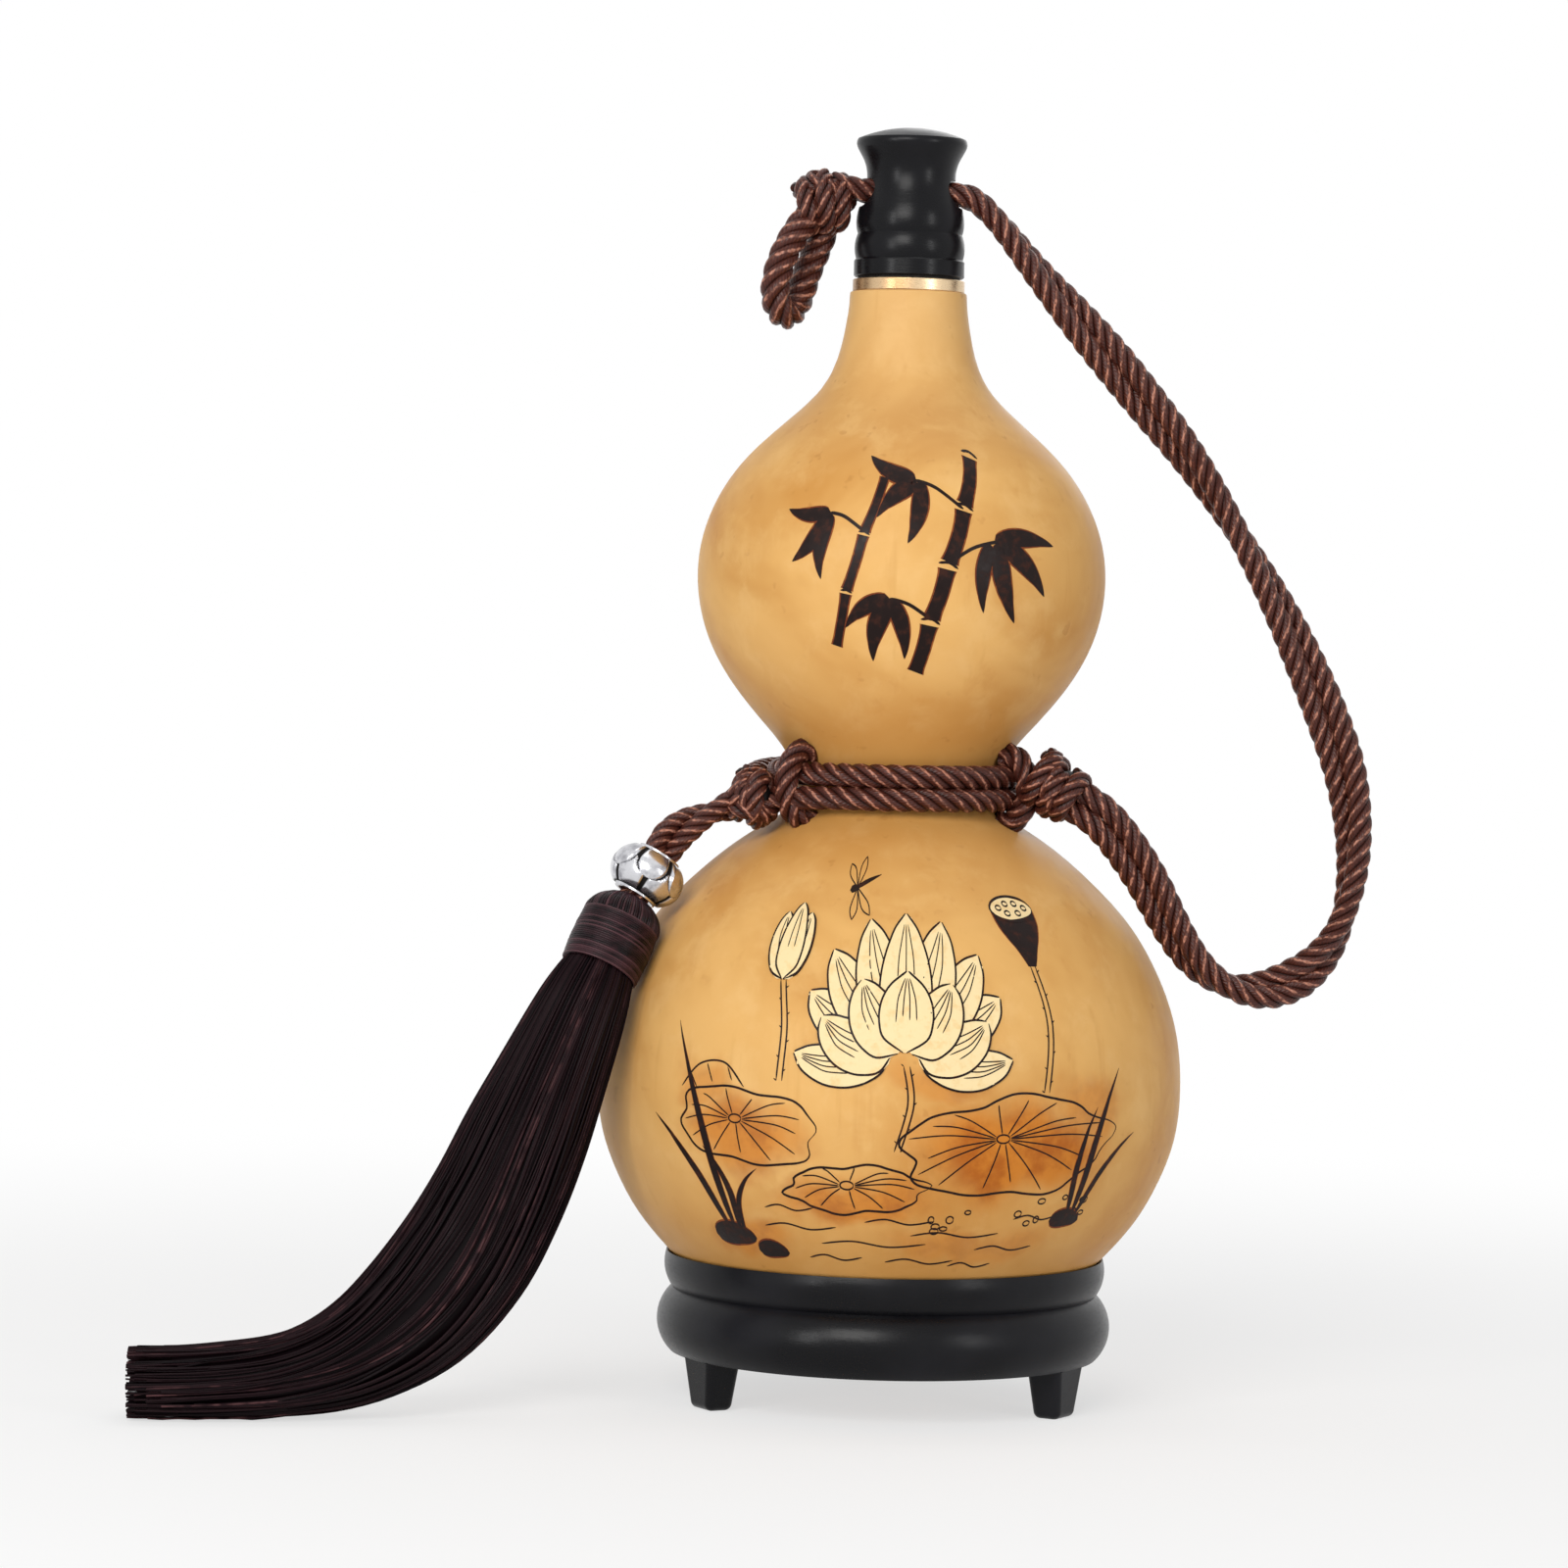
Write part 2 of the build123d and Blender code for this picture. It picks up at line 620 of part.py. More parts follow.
# Satin binding round the tassel's neck
binding_top = crown_top + tassel_axis * crown_length
with BuildPart() as tassel_binding:
    with BuildSketch(axis_plane(binding_top, tassel_axis)):
        with BuildLine():
            Line((0, 0), (binding_end_radius, 0))
            ThreePointArc((binding_end_radius, 0), (binding_radius, binding_length / 2),
                          (binding_end_radius, binding_length))
            Line((binding_end_radius, binding_length), (0, binding_length))
            Line((0, binding_length), (0, 0))
        make_face()
    revolve(axis=Axis(binding_top, tassel_axis))
save(tassel_binding.part, "tassel_binding")

# Tassel skirt: hanging threads that sweep outwards and lie on the table
skirt_top = binding_top + tassel_axis * binding_length
skirt_middles = [skirt_top] + skirt_line
half_widths = [binding_end_radius] + [skirt_half_width * share for share in skirt_width_shares]
half_depths = [binding_end_radius] + [skirt_half_depth * share for share in skirt_depth_shares]
with BuildPart() as tassel_skirt:
    for index, middle in enumerate(skirt_middles):
        before = skirt_middles[max(index - 1, 0)]
        after = skirt_middles[min(index + 1, len(skirt_middles) - 1)]
        along = tassel_axis if index == 0 else (after - before).normalized()
        across = along.cross(Vector(0, 1, 0)).normalized()
        with BuildSketch(Plane(origin=middle, x_dir=across, z_dir=along)):
            Ellipse(half_widths[index], half_depths[index])
    loft()
save(tassel_skirt.part, "tassel_skirt")

# Seat ring of the stand, hollowed to the gourd
seat_points = gourd_offset(gourd_seat_gap, lower_bulb_height)
step_outer = spigot_step_radius + spigot_step_width
with BuildPart() as stand_seat_ring:
    with BuildSketch(Plane.XZ):
        with BuildLine():
            Line((ring_bore_radius, ring_joint_height), (ring_joint_radius, ring_joint_height))
            ThreePointArc((ring_joint_radius, ring_joint_height), (seat_ring_radius, seat_ring_widest),
                          (seat_ring_radius - seat_lip_setback, seat_ring_top))
            Line((seat_ring_radius - seat_lip_setback, seat_ring_top), (ring_bore_radius, seat_ring_top))
            Line((ring_bore_radius, seat_ring_top), (ring_bore_radius, ring_joint_height))
        make_face()
        with BuildLine():
            Spline(*seat_points)
            Polyline(seat_points[-1], (0, seat_points[-1][1]), (0, seat_points[0][1]), seat_points[0])
        make_face(mode=Mode.SUBTRACT)
    revolve(axis=Axis.Z)
    with BuildSketch(Plane.XY.offset(ring_joint_height - spigot_step_depth)):
        Circle(step_outer)
        Circle(spigot_step_radius, mode=Mode.SUBTRACT)
    extrude(amount=spigot_step_depth)
save(stand_seat_ring.part, "stand_seat_ring")

# Base ring of the stand, with a rebate above and mortises below
with BuildPart() as stand_base_ring:
    with BuildSketch(Plane.XZ):
        with BuildLine():
            Line((ring_bore_radius, base_ring_bottom), (base_ring_bottom_radius, base_ring_bottom))
            ThreePointArc((base_ring_bottom_radius, base_ring_bottom), (base_ring_radius, base_ring_widest),
                          (ring_joint_radius, ring_joint_height))
            Line((ring_joint_radius, ring_joint_height), (ring_bore_radius, ring_joint_height))
            Line((ring_bore_radius, ring_joint_height), (ring_bore_radius, base_ring_bottom))
        make_face()
        with BuildLine():
            Spline(*seat_points)
            Polyline(seat_points[-1], (0, seat_points[-1][1]), (0, seat_points[0][1]), seat_points[0])
        make_face(mode=Mode.SUBTRACT)
    revolve(axis=Axis.Z)
    with BuildSketch(Plane.XY.offset(ring_joint_height)):
        Circle(step_outer + joint_gap)
        Circle(spigot_step_radius - joint_gap, mode=Mode.SUBTRACT)
    extrude(amount=-spigot_step_depth - joint_gap, mode=Mode.SUBTRACT)
    with BuildSketch(Plane.XY.offset(base_ring_bottom)):
        with PolarLocations(foot_circle_radius, foot_count, start_angle=foot_first_angle):
            Circle(tenon_radius + joint_gap)
    extrude(amount=tenon_length + joint_gap, mode=Mode.SUBTRACT)
save(stand_base_ring.part, "stand_base_ring")

# Feet, tapered blocks with a tenon
foot_names = ["stand_foot_rear", "stand_foot_left", "stand_foot_right"]
for index, name in enumerate(foot_names):
    place = math.radians(foot_first_angle + index * 360 / foot_count)
    outward = Vector(math.cos(place), math.sin(place), 0)
    floor_plane = Plane(origin=outward * foot_circle_radius, x_dir=outward, z_dir=(0, 0, 1))
    with BuildPart() as foot:
        with BuildSketch(floor_plane):
            RectangleRounded(foot_bottom_depth, foot_bottom_width, foot_corner)
        with BuildSketch(floor_plane.offset(base_ring_bottom)):
            RectangleRounded(foot_top_depth, foot_top_width, foot_corner)
        loft()
        fillet(foot.edges().group_by(Axis.Z)[0], foot_toe_round)
        with BuildSketch(floor_plane.offset(base_ring_bottom)):
            Circle(tenon_radius)
        extrude(amount=tenon_length)
    save(foot.part, name)
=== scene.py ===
"""Gourd water bottle on a three-footed stand: its finishes, cords, tassel and burnt pictures."""
import logging
import math
import random
from dataclasses import dataclass, field
from enum import Enum

import bmesh
import bpy
from mathutils import Matrix, Vector
from mathutils.bvhtree import BVHTree


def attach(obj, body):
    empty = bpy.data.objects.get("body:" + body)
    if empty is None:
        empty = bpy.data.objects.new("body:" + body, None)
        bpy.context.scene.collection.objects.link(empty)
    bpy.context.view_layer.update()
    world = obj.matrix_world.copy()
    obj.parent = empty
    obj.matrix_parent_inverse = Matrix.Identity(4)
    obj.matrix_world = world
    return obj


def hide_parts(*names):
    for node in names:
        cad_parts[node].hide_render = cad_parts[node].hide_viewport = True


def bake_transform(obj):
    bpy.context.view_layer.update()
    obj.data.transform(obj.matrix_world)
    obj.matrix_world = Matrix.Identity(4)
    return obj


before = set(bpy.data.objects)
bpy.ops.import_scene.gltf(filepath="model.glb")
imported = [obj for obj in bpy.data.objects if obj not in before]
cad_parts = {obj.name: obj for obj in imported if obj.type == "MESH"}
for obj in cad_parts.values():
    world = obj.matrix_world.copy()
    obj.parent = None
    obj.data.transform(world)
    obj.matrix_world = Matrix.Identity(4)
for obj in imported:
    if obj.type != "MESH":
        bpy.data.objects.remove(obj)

LOG = logging.getLogger("gourd_bottle")
MM = 0.001
SEED = 7
LINE_STEPS = 14
GROOVE_SHARE = 0.75
UP, BACK, FRONT = Vector((0.0, 0.0, 1.0)), Vector((0.0, 1.0, 0.0)), Vector((0.0, -1.0, 0.0))
Socket, Material, Piece, Tree = bpy.types.NodeSocket, bpy.types.Material, bpy.types.Object, bpy.types.NodeTree
Line = list[Vector]
Point = tuple[float, float, float]
Flat = tuple[float, float] | Vector
Span = tuple[float, float]
Colour = tuple[float, float, float, float]
WHITE: Colour = (1.0, 1.0, 1.0, 1.0)


# small tools

def srgb(red: int, green: int, blue: int) -> Colour:
    """A colour as seen on a screen, from 0 to 255, as the linear colour that a shader takes."""
    shares = (level / 255 for level in (red, green, blue))
    return (*(share / 12.92 if share <= 0.04045 else ((share + 0.055) / 1.055) ** 2.4
              for share in shares), 1.0)


def metres(point: Point) -> Vector:
    """A point or way in millimetres, as a vector in metres."""
    return Vector(point) * MM


def ease(share: float) -> float:
    """A share from 0 to 1 that starts and stops gently."""
    share = min(max(share, 0.0), 1.0)
    return share * share * (3 - 2 * share)


def square_ways(along: Vector, guide: Vector = BACK) -> tuple[Vector, Vector]:
    """Two unit ways square to a line: along crossed with the guide, and the way square to both."""
    across = along.cross(guide).normalized()
    return across, across.cross(along).normalized()


def round_way(across: Vector, deep: Vector, angle: float) -> Vector:
    """The way at an angle between two ways that are square to each other."""
    return across * math.cos(angle) + deep * math.sin(angle)


def beside(line: Line, index: int) -> tuple[Vector, Vector]:
    """The points before and after one of a line's points, or that point itself at an end."""
    return line[max(index - 1, 0)], line[min(index + 1, len(line) - 1)]


def curve_between(values: list, index: int, t: float) -> object:
    """A value at a share t past an entry of a list, on the smooth curve through the list's entries."""
    a, b, c, d = (values[min(max(index + step, 0), len(values) - 1)] for step in (-1, 0, 1, 2))
    return (b * 2 + (c - a) * t + (a * 2 - b * 5 + c * 4 - d) * t ** 2
            + (b * 3 - a - c * 3 + d) * t ** 3) * 0.5


def put_in_scene(name: str, data: bpy.types.ID) -> Piece:
    """Makes an object of a mesh, curve, lamp or camera.

    Args:
        name: The object's name.
        data: What it holds.

    Returns:
        The object, linked to the scene.
    """
    holder = bpy.data.objects.new(name, data)
    bpy.context.scene.collection.objects.link(holder)
    return holder


def keep_numbers(mesh: bpy.types.Mesh, name: str, numbers: list[float]) -> None:
    """Keeps a number for each point of a mesh, for its finish to read."""
    mesh.attributes.new(name, "FLOAT", "POINT").data.foreach_set("value", numbers)


class NodeBench:
    """A bench on which the nodes of a material or of a geometry tree are laid out."""

    def __init__(self, tree: Tree) -> None:
        """Starts on an empty tree."""
        self.tree = tree
        tree.nodes.clear()

    def add(self, kind: str, wires: dict | None = None, **settings: object) -> bpy.types.Node:
        """Adds a node.

        Args:
            kind: The node's type name.
            wires: Values or sockets for its inputs, by name or place.
            **settings: Properties of the node.

        Returns:
            The new node.
        """
        node = self.tree.nodes.new(kind)
        for key, value in settings.items():
            setattr(node, key, value)
        for key, value in (wires or {}).items():
            if isinstance(value, Socket):
                self.tree.links.new(value, node.inputs[key])
            else:
                node.inputs[key].default_value = value
        return node

    def sum(self, operation: str, *values: object) -> Socket:
        """The result of a Math node on one, two or three values."""
        return self.add("ShaderNodeMath", dict(enumerate(values)), operation=operation).outputs[0]

    def way(self, operation: str, *values: object, scale: object = None) -> Socket:
        """Works with vectors by a Vector Math node.

        Args:
            operation: What it does.
            *values: One or two vectors or sockets.
            scale: The number that it scales by, where it does.

        Returns:
            Its vector, or its number where the operation gives one.
        """
        wires = dict(enumerate(values))
        if scale is not None:
            wires["Scale"] = scale
        node = self.add("ShaderNodeVectorMath", wires, operation=operation)
        return node.outputs["Value" if operation in ("DOT_PRODUCT", "LENGTH") else "Vector"]

    def seen(self) -> Socket:
        """Tells what the camera sees from what only lights the scene.

        Returns:
            A level of 1 for what it sees, straight on, mirrored or through glass, and else 0.
        """
        ray = self.add("ShaderNodeLightPath").outputs
        straight = self.sum("MAXIMUM", ray["Is Camera Ray"], ray["Is Glossy Ray"])
        return self.sum("MAXIMUM", straight, ray["Is Transmission Ray"])


class Finish(NodeBench):
    """A procedural material on Object coordinates, with the steps that the finishes share."""

    def __init__(self, name: str) -> None:
        """Starts a material with a principled shader on it.

        Args:
            name: The material's name.
        """
        self.material = bpy.data.materials.new(name)
        self.material.use_nodes = True
        super().__init__(self.material.node_tree)
        self.shader = self.add("ShaderNodeBsdfPrincipled")
        self.add("ShaderNodeOutputMaterial", {"Surface": self.shader.outputs[0]})
        self.place = self.add("ShaderNodeTexCoord").outputs["Object"]

    def stretched(self, scale: Point) -> Socket:
        """Object coordinates stretched by a Mapping node."""
        return self.add("ShaderNodeMapping", {"Vector": self.place, "Scale": scale}).outputs[0]

    def noise(self, scale: float, detail: float = 3.0, roughness: float = 0.55, distortion: float = 0.0,
              place: Socket | None = None) -> Socket:
        """A noise level over the surface, about 0.5 on average."""
        wires = {"Vector": place or self.place, "Scale": scale, "Detail": detail, "Roughness": roughness,
                 "Distortion": distortion}
        return self.add("ShaderNodeTexNoise", wires).outputs[0]

    def level(self, value: Socket, low: float, high: float, to_low: float = 0.0,
              to_high: float = 1.0) -> Socket:
        """A value carried gently from one range to another, and held at its ends."""
        wires = {"Value": value, "From Min": low, "From Max": high, "To Min": to_low, "To Max": to_high}
        return self.add("ShaderNodeMapRange", wires, interpolation_type="SMOOTHSTEP").outputs[0]

    def blend(self, share: object, under: object, over: object) -> Socket:
        """Two colours mixed by a share."""
        return self.add("ShaderNodeMix", {0: share, 6: under, 7: over}, data_type="RGBA").outputs[2]

    def attribute(self, name: str) -> Socket:
        """A number kept on the piece's mesh."""
        return self.add("ShaderNodeAttribute", attribute_name=name).outputs["Fac"]

    def bump(self, height: Socket, depth: float, strength: float = 1.0,
             under: Socket | None = None) -> Socket:
        """Raises a bump.

        Args:
            height: The level that gives its height.
            depth: Its depth in metres.
            strength: How far it counts.
            under: A bump that it lies on.

        Returns:
            The normal for the shader.
        """
        wires = {"Height": height, "Distance": depth, "Strength": strength}
        if under:
            wires["Normal"] = under
        return self.add("ShaderNodeBump", wires).outputs[0]

    def dress(self, **values: object) -> Material:
        """Sets the shader's sockets.

        Args:
            **values: Values or sockets by the sockets' names, with _ for a space.

        Returns:
            The finished material.
        """
        for key, value in values.items():
            socket = self.shader.inputs[key.replace("_", " ")]
            if isinstance(value, Socket):
                self.tree.links.new(value, socket)
            else:
                socket.default_value = value
        return self.material


# finishes

@dataclass(frozen=True)
class BlackLacquer:
    """Satin black lacquer on turned wood, with a faint grain and dust-grey wear."""
    name: str = "black_lacquer"
    deep: Colour = srgb(11, 11, 14)
    worn: Colour = srgb(30, 30, 35)
    grain_stretch: Point = (1.0, 1.0, 5.0)
    specular: float = 0.16

    def make(self) -> Material:
        """Lays out the lacquer's look.

        Returns:
            The material.
        """
        f = Finish(self.name)
        grain = f.noise(420.0, 4.0, 0.6, place=f.stretched(self.grain_stretch))
        cloud = f.noise(38.0, 3.0, 0.5)
        specks = f.level(f.noise(900.0, 2.0, 0.5), 0.70, 0.80)
        tone = f.blend(f.level(cloud, 0.42, 0.72, 0.0, 0.55), self.deep, self.worn)
        tone = f.blend(f.sum("MULTIPLY", specks, 0.4), tone, self.worn)
        rough = f.sum("ADD", f.level(cloud, 0.3, 0.7, 0.24, 0.33), f.level(grain, 0.4, 0.7, 0.0, 0.05))
        return f.dress(Base_Color=tone, Roughness=rough, Normal=f.bump(grain, 0.00005, 0.35),
                       Specular_IOR_Level=self.specular)


@dataclass(frozen=True)
class Wash:
    """A soft orange-brown burn on the gourd: its middle, half sizes and strength, in millimetres."""
    across: float
    height: float
    half_width: float
    half_height: float
    strength: float


@dataclass(frozen=True)
class GourdSkin:
    """Waxed dry gourd skin: honey yellow, mottled, with the burnt washes of the pond picture.

    Heights and fades are in metres up the gourd: each fade runs from where it starts to where it is full.
    """
    name: str
    washes: tuple[Wash, ...]
    wrap_radius: float
    honey: Colour = srgb(222, 174, 106)
    pale: Colour = srgb(234, 196, 136)
    amber: Colour = srgb(196, 140, 72)
    freckle: Colour = srgb(172, 116, 58)
    burn: Colour = srgb(200, 122, 42)
    deep_burn: Colour = srgb(168, 88, 26)
    neck_tone_and_painted_light: Span = (0.195, 0.250)
    foot_tone_and_painted_shade: Span = (0.062, 0.028)
    waist_height: float = 0.137
    painted_waist_shade: Span = (0.026, 0.004)
    wash_fade: Span = (1.12, 0.45)
    wash_stir: float = 0.016
    specular: float = 0.07

    def wash_share(self, f: Finish) -> Socket:
        """Finds how strongly each point is burnt, from the distance round and up the gourd.

        Args:
            f: The skin's bench.

        Returns:
            The share, from 0 to the strongest wash's strength.
        """
        parts = f.add("ShaderNodeSeparateXYZ", {0: f.place}).outputs
        angle = f.sum("ARCTAN2", parts[0], f.sum("MULTIPLY", parts[1], -1.0))
        across = f.sum("MULTIPLY", angle, self.wrap_radius * MM)
        flat = f.add("ShaderNodeCombineXYZ", {0: across, 1: parts[2]}).outputs[0]
        stir = f.add("ShaderNodeTexNoise", {"Vector": flat, "Scale": 60.0, "Detail": 3.0}).outputs[1]
        stir = f.way("SCALE", f.way("SUBTRACT", stir, (0.5, 0.5, 0.5)), scale=self.wash_stir)
        flat = f.way("ADD", flat, stir)
        total: object = 0.0
        for wash in self.washes:
            centre = (wash.across * MM, wash.height * MM, 0.0)
            shares = (1 / (wash.half_width * MM), 1 / (wash.half_height * MM), 0.0)
            reach = f.way("LENGTH", f.way("MULTIPLY", f.way("SUBTRACT", flat, centre), shares))
            total = f.sum("MAXIMUM", total, f.level(reach, *self.wash_fade, 0.0, wash.strength))
        return total

    def make(self) -> Material:
        """Lays out the skin's look.

        Returns:
            The material.
        """
        f = Finish(self.name)
        height = f.add("ShaderNodeSeparateXYZ", {0: f.place}).outputs[2]
        cloud = f.noise(16.0, 4.0, 0.6, 0.6)
        mottle = f.noise(95.0, 4.0, 0.62, 0.3)
        pores = f.noise(1500.0, 2.0, 0.6)
        tone = f.blend(f.level(cloud, 0.35, 0.7), self.honey, self.amber)
        tone = f.blend(f.level(mottle, 0.46, 0.74, 0.0, 0.28), tone, self.pale)
        # partly the skin's own paler tone and partly painted light: paler toward the neck
        tone = f.blend(f.level(height, *self.neck_tone_and_painted_light, 0.0, 0.45), tone, self.pale)
        # painted shade: darker toward amber in a band round the waist
        from_waist = f.sum("ABSOLUTE", f.sum("SUBTRACT", height, self.waist_height))
        tone = f.blend(f.level(from_waist, *self.painted_waist_shade, 0.0, 0.55), tone, self.amber)
        # partly the skin's own darker tone and partly painted shade: darker toward amber low on the lower
        # bulb
        tone = f.blend(f.level(height, *self.foot_tone_and_painted_shade, 0.0, 0.65), tone, self.amber)
        spots = f.sum("MULTIPLY", f.level(f.noise(260.0, 2.0, 0.5), 0.66, 0.74), f.level(cloud, 0.4, 0.6))
        tone = f.blend(f.sum("MULTIPLY", spots, 0.35), tone, self.freckle)
        streaks = f.noise(60.0, 3.0, 0.6, place=f.stretched((3.2, 3.2, 0.35)))
        tone = f.blend(f.level(streaks, 0.58, 0.75, 0.0, 0.30), tone, self.amber)
        share = self.wash_share(f)
        burnt = f.blend(f.level(f.noise(120.0, 4.0, 0.6), 0.40, 0.66), self.burn, self.deep_burn)
        tone = f.blend(share, tone, burnt)
        rough = f.sum("ADD", f.level(mottle, 0.35, 0.7, 0.36, 0.47), f.sum("MULTIPLY", share, 0.08))
        relief = f.bump(pores, 0.00004, 0.25, f.bump(mottle, 0.00012, 0.25))
        return f.dress(Base_Color=tone, Roughness=rough, Normal=relief, Specular_IOR_Level=self.specular)


@dataclass(frozen=True)
class BurntLine:
    """Pyrography on the gourd: a burnt colour that breaks up a little, duller than the wax round it."""
    name: str
    main: Colour
    faded: Colour
    rough: float
    rough_spread: float = 0.1
    specular: float = 0.14

    def make(self) -> Material:
        """Lays out the burnt line's look.

        Returns:
            The material.
        """
        f = Finish(self.name)
        patch = f.noise(420.0, 3.0, 0.6)
        tone = f.blend(f.level(patch, 0.48, 0.72, 0.0, 0.8), self.main, self.faded)
        rough = f.level(patch, 0.3, 0.7, self.rough - self.rough_spread, self.rough + self.rough_spread)
        return f.dress(Base_Color=tone, Roughness=rough, Normal=f.bump(f.noise(1300.0), 0.00004, 0.5),
                       Specular_IOR_Level=self.specular)


@dataclass(frozen=True)
class TwistedThread:
    """Satin thread laid in plies: painted shade darkens the grooves, and a painted highlight draws a fine
    light line along each crest.
    """
    name: str = "brown_cord"
    # painted shade: the near-black colour of the grooves between plies
    groove: Colour = srgb(8, 4, 4)
    body: Colour = srgb(62, 27, 20)
    sheen: Colour = srgb(98, 50, 38)
    painted_glint: Colour = srgb(205, 142, 118)
    painted_glint_share: float = 0.75
    rough: float = 0.34
    groove_rough: float = 0.25
    threads: float = 9.0
    skew: float = 160.0
    specular: float = 0.24

    def make(self) -> Material:
        """Lays out the thread's look.

        Returns:
            The material.
        """
        f = Finish(self.name)
        crest, along, around = (f.attribute(word) for word in ("crest", "along", "around"))
        skew = f.sum("ADD", around, f.sum("MULTIPLY", along, self.skew))
        fine = f.sum("SINE", f.sum("MULTIPLY", skew, self.threads * math.tau))
        broken = f.noise(700.0, 3.0, 0.6)
        # painted sheen: the body lightens along the fine threads and in soft noise patches
        body = f.blend(f.level(fine, -0.9, 0.9, 0.0, 0.30), self.body, self.sheen)
        body = f.blend(f.level(broken, 0.46, 0.72, 0.0, 0.4), body, self.sheen)
        # painted shade: the grooves between plies darken to near black by the crest attribute
        tone = f.blend(f.level(crest, 0.42, 0.90), self.groove, body)
        # painted highlight: a thin light line along each ply's crest, broken up by noise
        line = f.sum("MULTIPLY", f.level(crest, 0.965, 0.995), f.level(broken, 0.42, 0.56, 0.15, 1.0))
        tone = f.blend(f.sum("MULTIPLY", line, self.painted_glint_share), tone, self.painted_glint)
        rough = f.level(crest, 0.2, 0.8, self.rough + self.groove_rough, self.rough)
        return f.dress(Base_Color=tone, Roughness=rough, Normal=f.bump(fine, 0.00006, 0.5),
                       Specular_IOR_Level=self.specular)


@dataclass(frozen=True)
class TasselThread:
    """Fine rayon thread, near black, each thread a little different, with a painted purple-brown highlight on
    a few threads.
    """
    name: str = "tassel_thread"
    deep: Colour = srgb(8, 4, 6)
    mid: Colour = srgb(32, 17, 21)
    painted_glint: Colour = srgb(104, 70, 72)
    painted_glint_share: float = 0.7
    specular: float = 0.06

    def make(self) -> Material:
        """Lays out the tassel's look.

        Returns:
            The material.
        """
        f = Finish(self.name)
        shade = f.attribute("shade")
        patch = f.noise(240.0, 2.0, 0.5)
        tone = f.blend(f.level(shade, 0.1, 0.9), self.deep, self.mid)
        # painted highlight: a few threads with a high shade number turn toward the highlight colour in
        # patches
        bright = f.sum("MULTIPLY", f.level(shade, 0.80, 0.98), f.level(patch, 0.40, 0.62))
        tone = f.blend(f.sum("MULTIPLY", bright, self.painted_glint_share), tone, self.painted_glint)
        return f.dress(Base_Color=tone, Roughness=f.level(patch, 0.3, 0.7, 0.30, 0.42),
                       Normal=f.bump(f.noise(1800.0), 0.00003, 0.4), Specular_IOR_Level=self.specular)


@dataclass(frozen=True)
class SatinBinding:
    """The tassel's satin binding and folded crown: dark thread with a soft purple-brown painted sheen on some
    threads.
    """
    name: str = "tassel_binding_thread"
    deep: Colour = srgb(16, 8, 11)
    mid: Colour = srgb(44, 24, 29)
    painted_glint: Colour = srgb(112, 76, 82)
    painted_glint_share: float = 0.35
    specular: float = 0.16

    def make(self) -> Material:
        """Lays out the binding's look.

        Returns:
            The material.
        """
        f = Finish(self.name)
        shade = f.attribute("shade")
        patch = f.noise(160.0, 3.0, 0.6, place=f.stretched((1.0, 1.0, 3.0)))
        tone = f.blend(f.level(patch, 0.38, 0.66), self.deep, self.mid)
        # painted sheen: threads with a high shade number lighten toward the highlight colour
        tone = f.blend(f.sum("MULTIPLY", f.level(shade, 0.55, 1.0), self.painted_glint_share), tone, self.painted_glint)
        return f.dress(Base_Color=tone, Roughness=f.level(patch, 0.3, 0.7, 0.30, 0.44),
                       Normal=f.bump(f.noise(1600.0), 0.00003, 0.5), Specular_IOR_Level=self.specular)


@dataclass(frozen=True)
class CarvedSilver:
    """Polished old silver, blackened in the carved grooves."""
    name: str = "silver"
    bright: Colour = srgb(214, 214, 218)
    dull: Colour = srgb(150, 150, 156)
    black: Colour = srgb(30, 28, 28)
    groove_fade: Span = (0.64, 0.28)
    metallic: float = 0.95

    def make(self) -> Material:
        """Lays out the silver's look.

        Returns:
            The material.
        """
        f = Finish(self.name)
        relief = f.attribute("relief")
        cloud = f.noise(260.0, 3.0, 0.6)
        tone = f.blend(f.level(cloud, 0.42, 0.7), self.bright, self.dull)
        tone = f.blend(f.level(relief, *self.groove_fade), tone, self.black)
        rough = f.sum("ADD", f.level(cloud, 0.35, 0.7, 0.16, 0.30), f.level(relief, 0.5, 0.2, 0.0, 0.35))
        scratches = f.noise(2200.0, 2.0, 0.5, place=f.stretched((1.0, 1.0, 0.15)))
        return f.dress(Base_Color=tone, Roughness=rough, Metallic=self.metallic,
                       Normal=f.bump(scratches, 0.00002, 0.4))


@dataclass(frozen=True)
class BrushedBrass:
    """A pale champagne brass band, drawn and lightly tarnished, with soft upright stripes of painted
    reflection.
    """
    name: str = "ferrule_metal"
    pale: Colour = srgb(224, 198, 160)
    warm: Colour = srgb(176, 138, 96)
    tarnish: Colour = srgb(120, 88, 58)
    metallic: float = 0.85

    def make(self) -> Material:
        """Lays out the band's look.

        Returns:
            The material.
        """
        f = Finish(self.name)
        # painted reflection: soft upright pale and warm stripes round the ring
        painted_reflection_bands = f.noise(70.0, 2.0, 0.5, place=f.stretched((1.0, 1.0, 0.02)))
        marks = f.noise(900.0, 4.0, 0.65, place=f.stretched((1.0, 1.0, 6.0)))
        tone = f.blend(f.level(painted_reflection_bands, 0.38, 0.64), self.warm, self.pale)
        tone = f.blend(f.level(marks, 0.60, 0.78, 0.0, 0.5), tone, self.tarnish)
        return f.dress(Base_Color=tone, Metallic=self.metallic,
                       Roughness=f.level(marks, 0.3, 0.7, 0.24, 0.40), Normal=f.bump(marks, 0.00003, 0.5))


